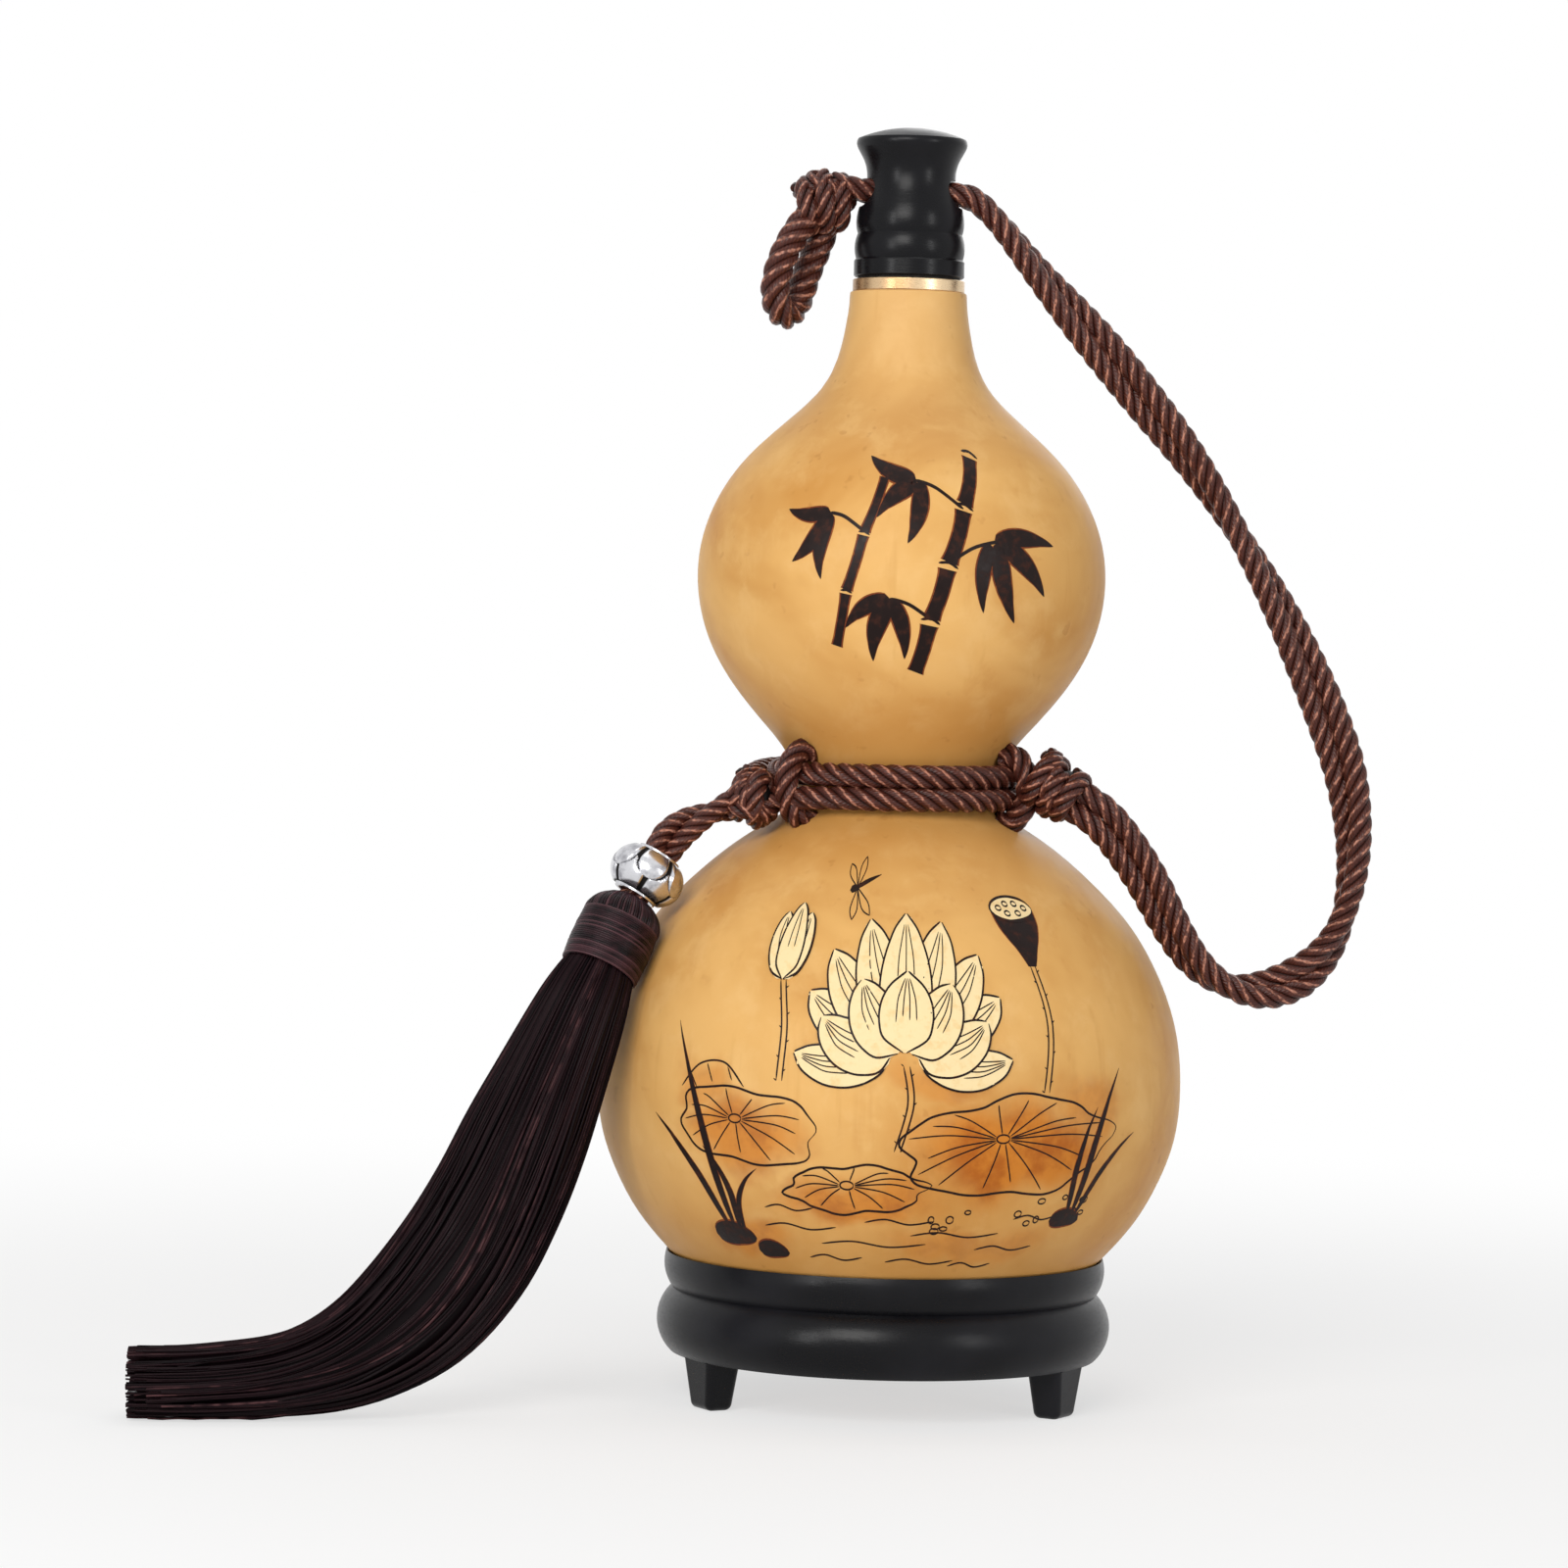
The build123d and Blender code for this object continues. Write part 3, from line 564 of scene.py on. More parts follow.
@dataclass(frozen=True)
class CorkBark:
    """Turned cork with dark lenticels."""
    name: str = "cork"
    tan: Colour = srgb(196, 150, 100)
    light: Colour = srgb(218, 178, 130)
    pit: Colour = srgb(92, 58, 34)
    specular: float = 0.3

    def make(self) -> Material:
        """Lays out the cork's look.

        Returns:
            The material.
        """
        f = Finish(self.name)
        grain = f.noise(320.0, 5.0, 0.65)
        cells = f.add("ShaderNodeTexVoronoi", {"Vector": f.stretched((1.0, 1.0, 2.2)), "Scale": 520.0})
        pits = f.sum("MULTIPLY", f.level(cells.outputs[0], 0.22, 0.05), f.level(grain, 0.48, 0.6))
        tone = f.blend(f.level(grain, 0.35, 0.65), self.tan, self.light)
        tone = f.blend(pits, tone, self.pit)
        hollow = f.sum("SUBTRACT", grain, pits)
        return f.dress(Base_Color=tone, Roughness=f.level(grain, 0.3, 0.7, 0.72, 0.88),
                       Normal=f.bump(hollow, 0.00025, 0.6), Specular_IOR_Level=self.specular)


@dataclass(frozen=True)
class TurnedWood:
    """Pale turned wood of the mouth bush, with fine upright grain."""
    name: str = "bush_wood"
    pale: Colour = srgb(206, 164, 112)
    line: Colour = srgb(150, 104, 60)
    specular: float = 0.4

    def make(self) -> Material:
        """Lays out the wood's look.

        Returns:
            The material.
        """
        f = Finish(self.name)
        grain = f.noise(650.0, 4.0, 0.65, 0.8, place=f.stretched((1.0, 1.0, 0.12)))
        tone = f.blend(f.level(grain, 0.42, 0.68), self.pale, self.line)
        return f.dress(Base_Color=tone, Roughness=f.level(grain, 0.3, 0.7, 0.45, 0.62),
                       Normal=f.bump(grain, 0.00006, 0.5), Specular_IOR_Level=self.specular)


@dataclass(frozen=True)
class SoftGasket:
    """A thin black rubber washer, a little dusty."""
    name: str = "gasket"
    black: Colour = srgb(20, 19, 19)
    dusty: Colour = srgb(46, 44, 42)
    specular: float = 0.15

    def make(self) -> Material:
        """Lays out the gasket's look.

        Returns:
            The material.
        """
        f = Finish(self.name)
        dust = f.noise(500.0, 3.0, 0.6)
        tone = f.blend(f.level(dust, 0.4, 0.7), self.black, self.dusty)
        return f.dress(Base_Color=tone, Roughness=f.level(dust, 0.3, 0.7, 0.45, 0.65),
                       Normal=f.bump(dust, 0.00003, 0.4), Specular_IOR_Level=self.specular)


# lines, threads and plies

def smooth_line(name: str, route: Line) -> Line:
    """Reads points along a smooth NURBS line that has a cord's route as its control points.

    Args:
        name: A name for the working curve.
        route: The control points, in metres.

    Returns:
        Points close together along the line.
    """
    curve = bpy.data.curves.new(name, "CURVE")
    curve.dimensions = "3D"
    curve.resolution_u = LINE_STEPS
    spline = curve.splines.new("NURBS")
    spline.points.add(len(route) - 1)
    for knot, place in zip(spline.points, route):
        knot.co = (*place, 1.0)
    spline.order_u = 3
    spline.use_endpoint_u = True
    holder = put_in_scene(name, curve)
    graph = bpy.context.evaluated_depsgraph_get()
    wire = bpy.data.meshes.new_from_object(holder.evaluated_get(graph))
    places = [vertex.co.copy() for vertex in wire.vertices]
    bpy.data.objects.remove(holder)
    bpy.data.meshes.remove(wire)
    return places


def line_length(line: Line) -> float:
    """The length of a line of points."""
    return sum((after - before).length for before, after in zip(line, line[1:]))


def chain_object(name: str, lines: list[Line], shades: list[float] | None = None) -> Piece:
    """A mesh of bare edges, one chain for each line, for a geometry tree to clothe.

    Args:
        name: The piece's name.
        lines: The chains' points, in metres.
        shades: A number from 0 to 1 for each chain, kept as the attribute shade.

    Returns:
        The object, linked to the scene.
    """
    places, edges, tones = [], [], []
    for index, line in enumerate(lines):
        start = len(places)
        places += [tuple(place) for place in line]
        edges += [(start + step, start + step + 1) for step in range(len(line) - 1)]
        tones += [shades[index] if shades else 0.5] * len(line)
    mesh = bpy.data.meshes.new(name)
    mesh.from_pydata(places, edges, [])
    keep_numbers(mesh, "shade", tones)
    return put_in_scene(name, mesh)


class GeometryBench(NodeBench):
    """Builds a geometry tree with named inputs for its sizes."""

    def __init__(self, name: str, **sizes: str) -> None:
        """Starts a tree.

        Args:
            name: The tree's name.
            **sizes: Its inputs after the geometry, as name and kind of socket.
        """
        tree = bpy.data.node_groups.new(name, "GeometryNodeTree")
        super().__init__(tree)
        tree.interface.new_socket("Line", in_out="INPUT", socket_type="NodeSocketGeometry")
        for label, kind in sizes.items():
            tree.interface.new_socket(label, in_out="INPUT", socket_type="NodeSocket" + kind)
        tree.interface.new_socket("Piece", in_out="OUTPUT", socket_type="NodeSocketGeometry")
        self.given = self.add("NodeGroupInput").outputs

    def keep(self, geometry: object, name: str, value: object, kind: str = "FLOAT") -> Socket:
        """Stores a named attribute on the points of a geometry."""
        wires = {"Geometry": geometry, "Name": name, "Value": value}
        return self.add("GeometryNodeStoreNamedAttribute", wires, data_type=kind, domain="POINT").outputs[0]

    def close(self, geometry: object) -> Tree:
        """Ends the tree: smooth shading, real instances and the piece's finish.

        Args:
            geometry: What the tree has made.

        Returns:
            The finished tree.
        """
        smooth = self.add("GeometryNodeSetShadeSmooth", {0: geometry}).outputs[0]
        real = self.add("GeometryNodeRealizeInstances", {0: smooth}).outputs[0]
        dressed = self.add("GeometryNodeSetMaterial", {"Geometry": real, "Material": self.given["Finish"]})
        self.add("NodeGroupOutput", {0: dressed.outputs[0]})
        return self.tree


def ply_tree() -> Tree:
    """Makes the tree that lays twisted plies along each line: a rope's strands.

    Returns:
        The tree, which also keeps crest, along and around for the cord's finish.
    """
    b = GeometryBench("twisted_plies", Plies="Int", PlyRadius="Float", LayRadius="Float", Pitch="Float",
                      Step="Float", Sides="Int", Finish="Material")
    given = b.given
    line = b.add("GeometryNodeMeshToCurve", {0: given["Line"]}).outputs[0]
    wires = {"Curve": line, "Length": given["Step"]}
    line = b.add("GeometryNodeResampleCurve", wires, mode="LENGTH").outputs[0]
    line = b.add("GeometryNodeSetCurveNormal", {0: line}, mode="MINIMUM_TWIST").outputs[0]
    middle = b.add("GeometryNodeInputPosition").outputs[0]
    length = b.add("GeometryNodeSplineParameter").outputs["Length"]
    line = b.keep(line, "core", middle, "FLOAT_VECTOR")
    line = b.keep(line, "along", length)
    copies = b.add("GeometryNodeDuplicateElements", {0: line, 2: given["Plies"]}, domain="SPLINE")
    ply = b.sum("DIVIDE", copies.outputs[1], given["Plies"])
    turn = b.sum("MULTIPLY", b.sum("ADD", b.sum("DIVIDE", length, given["Pitch"]), ply), math.tau)
    normal = b.add("GeometryNodeInputNormal").outputs[0]
    tangent = b.add("GeometryNodeInputTangent").outputs[0]
    side = b.way("CROSS_PRODUCT", tangent, normal)
    reach = b.way("ADD", b.way("SCALE", normal, scale=b.sum("COSINE", turn)),
                  b.way("SCALE", side, scale=b.sum("SINE", turn)))
    offset = b.way("SCALE", reach, scale=given["LayRadius"])
    wires = {"Geometry": copies.outputs[0], "Offset": offset}
    plies = b.add("GeometryNodeSetPosition", wires).outputs[0]
    wires = {"Resolution": given["Sides"], "Radius": given["PlyRadius"]}
    ring = b.add("GeometryNodeCurvePrimitiveCircle", wires).outputs[0]
    ring = b.keep(ring, "around", b.add("GeometryNodeSplineParameter").outputs["Factor"])
    tubes = b.add("GeometryNodeCurveToMesh", {"Curve": plies, "Profile Curve": ring, "Fill Caps": True})
    core = b.add("GeometryNodeInputNamedAttribute", {"Name": "core"}, data_type="FLOAT_VECTOR").outputs[0]
    depth = b.way("LENGTH", b.way("SUBTRACT", b.add("GeometryNodeInputPosition").outputs[0], core))
    inner = b.sum("MULTIPLY", given["LayRadius"], GROOVE_SHARE)
    outer = b.sum("ADD", given["LayRadius"], given["PlyRadius"])
    crest = b.add("ShaderNodeMapRange", {"Value": depth, "From Min": inner, "From Max": outer}).outputs[0]
    return b.close(b.keep(tubes.outputs[0], "crest", crest))


def thread_tree() -> Tree:
    """Makes the tree that draws a fine round thread along each line.

    Returns:
        The tree.
    """
    b = GeometryBench("fine_threads", Radius="Float", Sides="Int", Finish="Material")
    line = b.add("GeometryNodeMeshToCurve", {0: b.given["Line"]}).outputs[0]
    wires = {"Resolution": b.given["Sides"], "Radius": b.given["Radius"]}
    ring = b.add("GeometryNodeCurvePrimitiveCircle", wires).outputs[0]
    tubes = b.add("GeometryNodeCurveToMesh", {"Curve": line, "Profile Curve": ring, "Fill Caps": True})
    return b.close(tubes.outputs[0])


def clothe(holder: Piece, tree: Tree, **sizes: object) -> Piece:
    """Runs a geometry tree on a chain object and turns the result into a plain mesh.

    Args:
        holder: The object of bare chains.
        tree: The geometry tree.
        **sizes: The tree's inputs by name.

    Returns:
        The same object with its finished mesh and no modifier.
    """
    modifier = holder.modifiers.new(tree.name, "NODES")
    modifier.node_group = tree
    for item in tree.interface.items_tree:
        if item.in_out == "INPUT" and item.name in sizes:
            modifier[item.identifier] = sizes[item.name]
    graph = bpy.context.evaluated_depsgraph_get()
    made = bpy.data.meshes.new_from_object(holder.evaluated_get(graph), preserve_all_data_layers=True,
                                           depsgraph=graph)
    bare = holder.data
    holder.modifiers.clear()
    holder.data = made
    made.name = holder.name
    bpy.data.meshes.remove(bare)
    return holder


@dataclass
class RopeShop:
    """Lays cord of one make for the strap, loop, tail, winding and knots; its sizes in millimetres."""
    finish: Material
    diameter: float = 5.3
    plies: int = 4
    pitch: float = 15.0
    tight_pitch: float = 12.5
    ply_share: float = 0.445
    step: float = 0.75
    sides: int = 10
    tree: Tree = field(default_factory=ply_tree)

    def lay(self, name: str, lines: list[Line], diameter: float | None = None,
            pitch: float | None = None) -> Piece:
        """Lays rope along lines.

        Args:
            name: The piece's name.
            lines: The ropes' middle lines, in metres.
            diameter: The rope's diameter in millimetres, where it isn't the shop's own.
            pitch: The length of one turn of its plies, in millimetres.

        Returns:
            The rope as a mesh object.
        """
        width = diameter or self.diameter
        ply_radius = width / 2 * self.ply_share
        return clothe(chain_object(name, lines), self.tree, Plies=self.plies, PlyRadius=ply_radius * MM,
                      LayRadius=(width / 2 - ply_radius) * MM, Pitch=(pitch or self.pitch) * MM,
                      Step=self.step * MM, Sides=self.sides, Finish=self.finish)


def mesh_piece(name: str, sheet: bmesh.types.BMesh, finish: Material) -> Piece:
    """Turns a worked mesh into a piece and lets the worked mesh go.

    Args:
        name: The piece's name.
        sheet: The worked mesh.
        finish: The piece's material.

    Returns:
        The piece.
    """
    mesh = bpy.data.meshes.new(name)
    sheet.to_mesh(mesh)
    sheet.free()
    mesh.materials.append(finish)
    return put_in_scene(name, mesh)


def surface_mesh(name: str, rows: list[Line], finish: Material, capped: bool = True) -> Piece:
    """A smooth surface through rings of points.

    Args:
        name: The piece's name.
        rows: Rings with as many points each, in metres.
        finish: The surface's material.
        capped: Whether the first and last rings are filled.

    Returns:
        The mesh object, with its faces outwards.
    """
    sheet = bmesh.new()
    knots = [[sheet.verts.new(place) for place in row] for row in rows]
    count = len(rows[0])
    for here, there in zip(knots, knots[1:]):
        for step in range(count):
            after = (step + 1) % count
            sheet.faces.new((here[step], here[after], there[after], there[step]))
    if capped:
        sheet.faces.new(list(reversed(knots[0])))
        sheet.faces.new(knots[-1])
    bmesh.ops.recalc_face_normals(sheet, faces=sheet.faces)
    piece = mesh_piece(name, sheet, finish)
    smooth_over(piece)
    return piece


def smooth_over(piece: Piece) -> None:
    """Shades every face of a piece smooth."""
    piece.data.polygons.foreach_set("use_smooth", [True] * len(piece.data.polygons))


def rings_about(origin: Vector, axis: Vector, profile: list[Flat], sides: int) -> list[Line]:
    """Rings of a turned shape, whose profile is radius and distance along the axis in millimetres."""
    ways = square_ways(axis)
    return [[origin + axis * along * MM + round_way(*ways, math.tau * step / sides) * radius * MM
             for step in range(sides)] for radius, along in profile]


# stand, gourd and stopper

def dress_nodes(finish: Material, *nodes: str) -> None:
    """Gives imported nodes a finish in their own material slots.

    Args:
        finish: The material.
        *nodes: The nodes' names.
    """
    for node in nodes:
        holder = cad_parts[node]
        if not holder.material_slots:
            holder.data.materials.append(finish)
        for place in holder.material_slots:
            place.material = finish


@dataclass
class Stand:
    """The two lacquered rings and their three feet."""
    nodes: tuple[str, ...] = ("stand_seat_ring", "stand_base_ring", "stand_foot_rear", "stand_foot_left",
                              "stand_foot_right")

    def build(self, lacquer: Material) -> None:
        """Dresses the stand's nodes."""
        dress_nodes(lacquer, *self.nodes)
        LOG.info("stand: %d nodes in black lacquer", len(self.nodes))


@dataclass
class Mouth:
    """The wooden bush, the brass band and the stopper with its cork and gasket."""

    def build(self, lacquer: Material) -> None:
        """Dresses the mouth's and the stopper's nodes.

        Args:
            lacquer: The stopper's finish.
        """
        dress_nodes(lacquer, "stopper_cap")
        for node, finish in (("mouth_bush", TurnedWood()), ("neck_ferrule", BrushedBrass()),
                             ("stopper_cork", CorkBark()), ("stopper_gasket", SoftGasket())):
            dress_nodes(finish.make(), node)
        LOG.info("mouth and stopper dressed")


# cords and knots

class StrandSide(Enum):
    """Which of the strap's two strands a cord is, by the side that it starts on."""
    FRONT = 1
    REAR = -1


@dataclass
class Strap:
    """The doubled strap: two cords from the stopper's knot, through its slot and down to the waist.

    The route is the middle of the two strands, which twist round each other by the angles given, seen
    from the front: 90 is nearest and 180 is the strap's inner side. Sizes are in millimetres.
    """
    shop: RopeShop
    slot_route: tuple[Point, ...] = ((-17.0, 0.0, 267.6), (-13.6, 0.0, 266.6), (-4.0, 0.0, 265.8))
    route: tuple[Point, ...] = (
        (8.0, 0.0, 265.8), (13.5, 0.0, 265.8), (20.0, 0.0, 259.5), (28.0, -0.5, 249.5),
        (36.5, -1.0, 240.0), (45.0, -1.0, 230.5), (53.0, -1.5, 221.0), (61.0, -2.0, 211.5),
        (68.5, -3.0, 201.0), (75.5, -3.5, 190.0), (82.5, -4.5, 178.0), (88.5, -5.0, 166.0),
        (94.0, -6.0, 153.5), (98.5, -7.0, 141.0), (100.5, -8.0, 127.5), (100.0, -9.0, 116.0),
        (97.5, -9.5, 106.5), (93.5, -10.0, 100.0), (88.0, -10.5, 95.5), (81.0, -11.0, 93.0),
        (73.5, -11.5, 93.5), (66.0, -12.0, 98.5), (60.0, -13.0, 107.5), (55.0, -14.0, 117.0),
        (49.0, -15.0, 125.5), (44.5, -16.0, 130.5), (40.0, -15.0, 133.4), (36.4, -14.2, 135.2))
    twists: tuple[float, ...] = (
        90, 90, 95, 110, 145, 180, 205, 230, 255, 280, 305, 330, 360, 385, 415, 440, 465, 495, 540, 585,
        630, 660, 680, 700, 715, 720, 720, 720)
    slot_twist: float = 90.0
    spacing: float = 4.7
    lengths: Span = (0.3035, 0.3075)

    def strand(self, side: StrandSide) -> Line:
        """The route of one strand.

        Args:
            side: Which strand.

        Returns:
            Its control points, in metres.
        """
        middles = [Vector(place) for place in self.slot_route + self.route]
        twists = [self.slot_twist] * len(self.slot_route) + list(self.twists)
        places = []
        for index, (middle, twist) in enumerate(zip(middles, twists)):
            before, after = beside(middles, index)
            along = (after - before).normalized()
            nearer = (FRONT - along * along.dot(FRONT)).normalized()
            reach = round_way(nearer.cross(along), nearer, math.radians(twist))
            places.append((middle + reach * side.value * self.spacing / 2) * MM)
        return places

    def build(self) -> None:
        """Lays both strands, from the stopper's knot to the knot at the waist."""
        for side, length in zip(StrandSide, self.lengths):
            word = side.name.lower()
            line = smooth_line(f"strap_line_{word}", self.strand(side))
            piece = self.shop.lay(f"strap_{word}", [line])
            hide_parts(f"strap_cord_{word}", f"slot_cord_{word}")
            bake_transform(piece)
            LOG.info("strap %s: %.1f mm of cord", word, line_length(line) / MM)


@dataclass
class FingerLoop:
    """The short loop of cord that hangs from the stopper's knot; its route and diameter in millimetres."""
    shop: RopeShop
    route: tuple[Point, ...] = (
        (-21.4, -1.6, 261.6), (-24.3, -2.8, 258.2), (-28.4, -4.8, 250.2), (-29.8, -5.0, 242.2),
        (-27.0, -0.8, 237.6), (-24.2, 3.8, 241.4), (-22.4, 4.2, 248.6), (-19.4, 3.1, 255.9),
        (-18.2, 1.6, 260.2))
    diameter: float = 6.6
    length: float = 0.055

    def build(self) -> None:
        """Lays the loop's cord."""
        line = smooth_line("finger_loop_line", [metres(place) for place in self.route])
        piece = self.shop.lay("finger_loop_cord", [line], self.diameter)
        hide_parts("finger_loop")
        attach(piece, "loop")
        LOG.info("finger loop: %.1f mm of cord", line_length(line) / MM)


@dataclass(frozen=True)
class Turn:
    """One turn of cord in a knot, round the knot's centre; sizes in millimetres and degrees."""
    facing: Point
    offset: float
    radius: float
    start: float
    sweep: float = 370.0
    flatten: float = 1.0
    rise: float = 0.0
    least_steps: int = 12
    step_angle: float = 9.0

    def line(self, centre: Vector) -> Line:
        """Finds the turn's middle line.

        Args:
            centre: The knot's centre, in metres.

        Returns:
            The line's points, in metres.
        """
        normal = Vector(self.facing).normalized()
        across, up = square_ways(normal, UP if abs(normal.z) < 0.9 else BACK)
        steps = max(self.least_steps, int(self.sweep / self.step_angle))
        places = []
        for step in range(steps + 1):
            share = step / steps
            angle = math.radians(self.start + self.sweep * share)
            ring = across * math.cos(angle) * self.flatten + up * math.sin(angle)
            lift = self.offset + self.rise * (share - 0.5)
            places.append(centre + (ring * self.radius + normal * lift) * MM)
        return places


@dataclass
class Knot:
    """A knot: turns of squeezed cord on a small core whose half sizes are in millimetres; the core is near
    black with the painted shade of the cord's grooves.
    """
    shop: RopeShop
    name: str
    node: str
    body: str
    centre: Point
    turns: tuple[Turn, ...]
    diameter: float = 4.6
    core: Point = (4.4, 4.4, 5.6)

    def build(self) -> None:
        """Lays the knot's turns and its core in one piece."""
        centre = metres(self.centre)
        lines = [turn.line(centre) for turn in self.turns]
        piece = self.shop.lay(self.name, lines, self.diameter, self.shop.tight_pitch)
        # the core's points carry no crest, so the cord's finish gives it the near-black painted shade of the
        # grooves
        heart = bmesh.new()
        heart.from_mesh(piece.data)
        made = bmesh.ops.create_icosphere(heart, subdivisions=3, radius=1.0)["verts"]
        for knot in made:
            knot.co = centre + Vector(side * half * MM for side, half in zip(knot.co, self.core))
        heart.to_mesh(piece.data)
        heart.free()
        smooth_over(piece)
        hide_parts(self.node)
        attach(piece, self.body)
        LOG.info("%s: %d turns", self.name, len(self.turns))


def knots(shop: RopeShop) -> list[Knot]:
    """Plans the three knots: on the stopper's cord, and left and right of the waist.

    Args:
        shop: The shop that lays them.

    Returns:
        The knots, not yet built.
    """
    cap = Knot(shop, "cap_knot_turns", "cap_knot", "stopper", (-19.3, 0.0, 263.5), (
        Turn((1.0, -0.10, 0.30), -3.4, 4.4, 90, rise=1.2),
        Turn((1.0, 0.0, 0.18), 0.0, 5.3, 70, rise=2.0),
        Turn((1.0, 0.10, 0.05), 3.3, 4.5, 80, rise=1.4),
        Turn((0.35, 0.25, 0.9), 2.4, 4.3, 20, flatten=1.1)))
    left = Knot(shop, "left_knot_turns", "waist_knot_left", "gourd", (-31.2, -15.5, 133.0), (
        Turn((0.95, -0.35, -0.25), -2.6, 4.2, 90, rise=1.5),
        Turn((0.95, -0.30, -0.05), 1.0, 4.9, 60, rise=2.0),
        Turn((0.45, -0.90, 0.30), 2.6, 3.7, 10, rise=0.8),
        Turn((0.2, 0.1, 1.0), -2.9, 3.9, 200, rise=1.0)), core=(4.6, 4.6, 5.2))
    lean = (0.84, -0.20, -0.50)
    right = Knot(shop, "right_knot_turns", "waist_knot_right", "gourd", (34.8, -13.8, 136.3), (
        Turn(lean, -4.2, 5.0, 90, rise=1.2),
        Turn((0.90, -0.22, -0.36), -0.9, 4.9, 40, rise=1.6),
        Turn(lean, 2.9, 4.3, 100, rise=1.6),
        Turn((0.62, -0.45, 0.20), 0.4, 4.6, 200, sweep=230.0, rise=2.4)), core=(5.6, 4.8, 4.6))
    return [cap, left, right]


@dataclass
class Winding:
    """Two turns of cord round the waist, climbing a step behind the gourd; in millimetres and degrees.

    Two short strands cross over both turns, one beside each knot.
    """
    shop: RopeShop
    knot: Point = (-31.2, -15.5, 133.0)
    knot_reach: float = 4.5
    start_way: Point = (0.93, -0.36, 0.0)
    end_way: Point = (0.12, -0.95, -0.27)
    radius: float = 26.05
    low: float = 133.5
    high: float = 138.5
    join: float = 245.0
    step_angles: Span = (450.0, 540.0)
    leave_angles: Span = (765.0, 855.0)
    spread: float = 6.5
    point_angle: float = 4.0
    start_points: int = 14
    end_points: int = 22
    over_angles: Span = (336.0, 219.0)
    over_sweep: float = 118.0
    over_points: int = 24
    over_depth: float = 4.9
    over_height: float = 7.6
    over_lift: float = 0.2

    def station(self, angle: float) -> Vector:
        """Finds the winding's middle at an angle round the gourd.

        Args:
            angle: The angle in degrees, which counts on over both turns.

        Returns:
            The place in millimetres.
        """
        up = ease((angle - self.step_angles[0]) / (self.step_angles[1] - self.step_angles[0]))
        out = ease((angle - self.leave_angles[0]) / (self.leave_angles[1] - self.leave_angles[0]))
        reach = self.radius + self.spread * out
        turn = math.radians(angle)
        height = self.low + (self.high - self.low) * up
        return Vector((reach * math.cos(turn), reach * math.sin(turn), height))

    def joining(self, start: Vector, start_way: Vector, end: Vector, end_way: Vector, steps: int) -> Line:
        """A smooth stretch between two places and unit ways, without its last point."""
        pull = (end - start).length
        return [start * (2 * t ** 3 - 3 * t ** 2 + 1) + start_way * pull * (t ** 3 - 2 * t ** 2 + t)
                + end * (3 * t ** 2 - 2 * t ** 3) + end_way * pull * (t ** 3 - t ** 2)
                for t in (step / steps for step in range(steps))]

    def line(self) -> Line:
        """Finds the winding's middle line, from the left knot round the waist and back to it.

        Returns:
            Its points, in metres.
        """
        knot = Vector(self.knot)
        start_way, end_way = Vector(self.start_way).normalized(), Vector(self.end_way).normalized()
        first, last = self.station(self.join), self.station(self.leave_angles[1])
        first_way = (self.station(self.join + 1) - first).normalized()
        last_way = (last - self.station(self.leave_angles[1] - 1)).normalized()
        places = self.joining(knot + start_way * self.knot_reach, start_way, first, first_way,
                              self.start_points)
        angle = self.join
        while angle < self.leave_angles[1]:
            places.append(self.station(angle))
            angle += self.point_angle
        places += self.joining(last, last_way, knot - end_way * self.knot_reach, end_way, self.end_points)
        places.append(knot - end_way * self.knot_reach)
        return [place * MM for place in places]

    def over_strand(self, at: float) -> Line:
        """Finds a short strand that crosses over both turns, its ends tucked in behind them.

        Args:
            at: The angle round the gourd at which it crosses.

        Returns:
            Its points, in metres.
        """
        turn = math.radians(at)
        outward = Vector((math.cos(turn), math.sin(turn), 0.0))
        middle = outward * self.radius + UP * ((self.low + self.high) / 2)
        places = []
        for step in range(self.over_points + 1):
            angle = math.radians(2 * self.over_sweep * step / self.over_points - self.over_sweep)
            places.append((middle + outward * (self.over_depth * math.cos(angle) + self.over_lift)
                           + UP * (self.over_height * math.sin(angle))) * MM)
        return places

    def build(self) -> None:
        """Lays the winding and the strands that hold it."""
        line = self.line()
        strands = [self.over_strand(at) for at in self.over_angles]
        piece = self.shop.lay("waist_winding_cord", [line] + strands)
        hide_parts("waist_winding")
        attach(piece, "gourd")
        LOG.info("winding: %.1f mm of cord", line_length(line) / MM)


# tail, bead and tassel

@dataclass(frozen=True)
class SkirtLayer:
    """A layer of the skirt's threads: its count, the shares of the girth it lies between, and its stray."""
    word: str
    count: int
    shell: Span
    stray: float


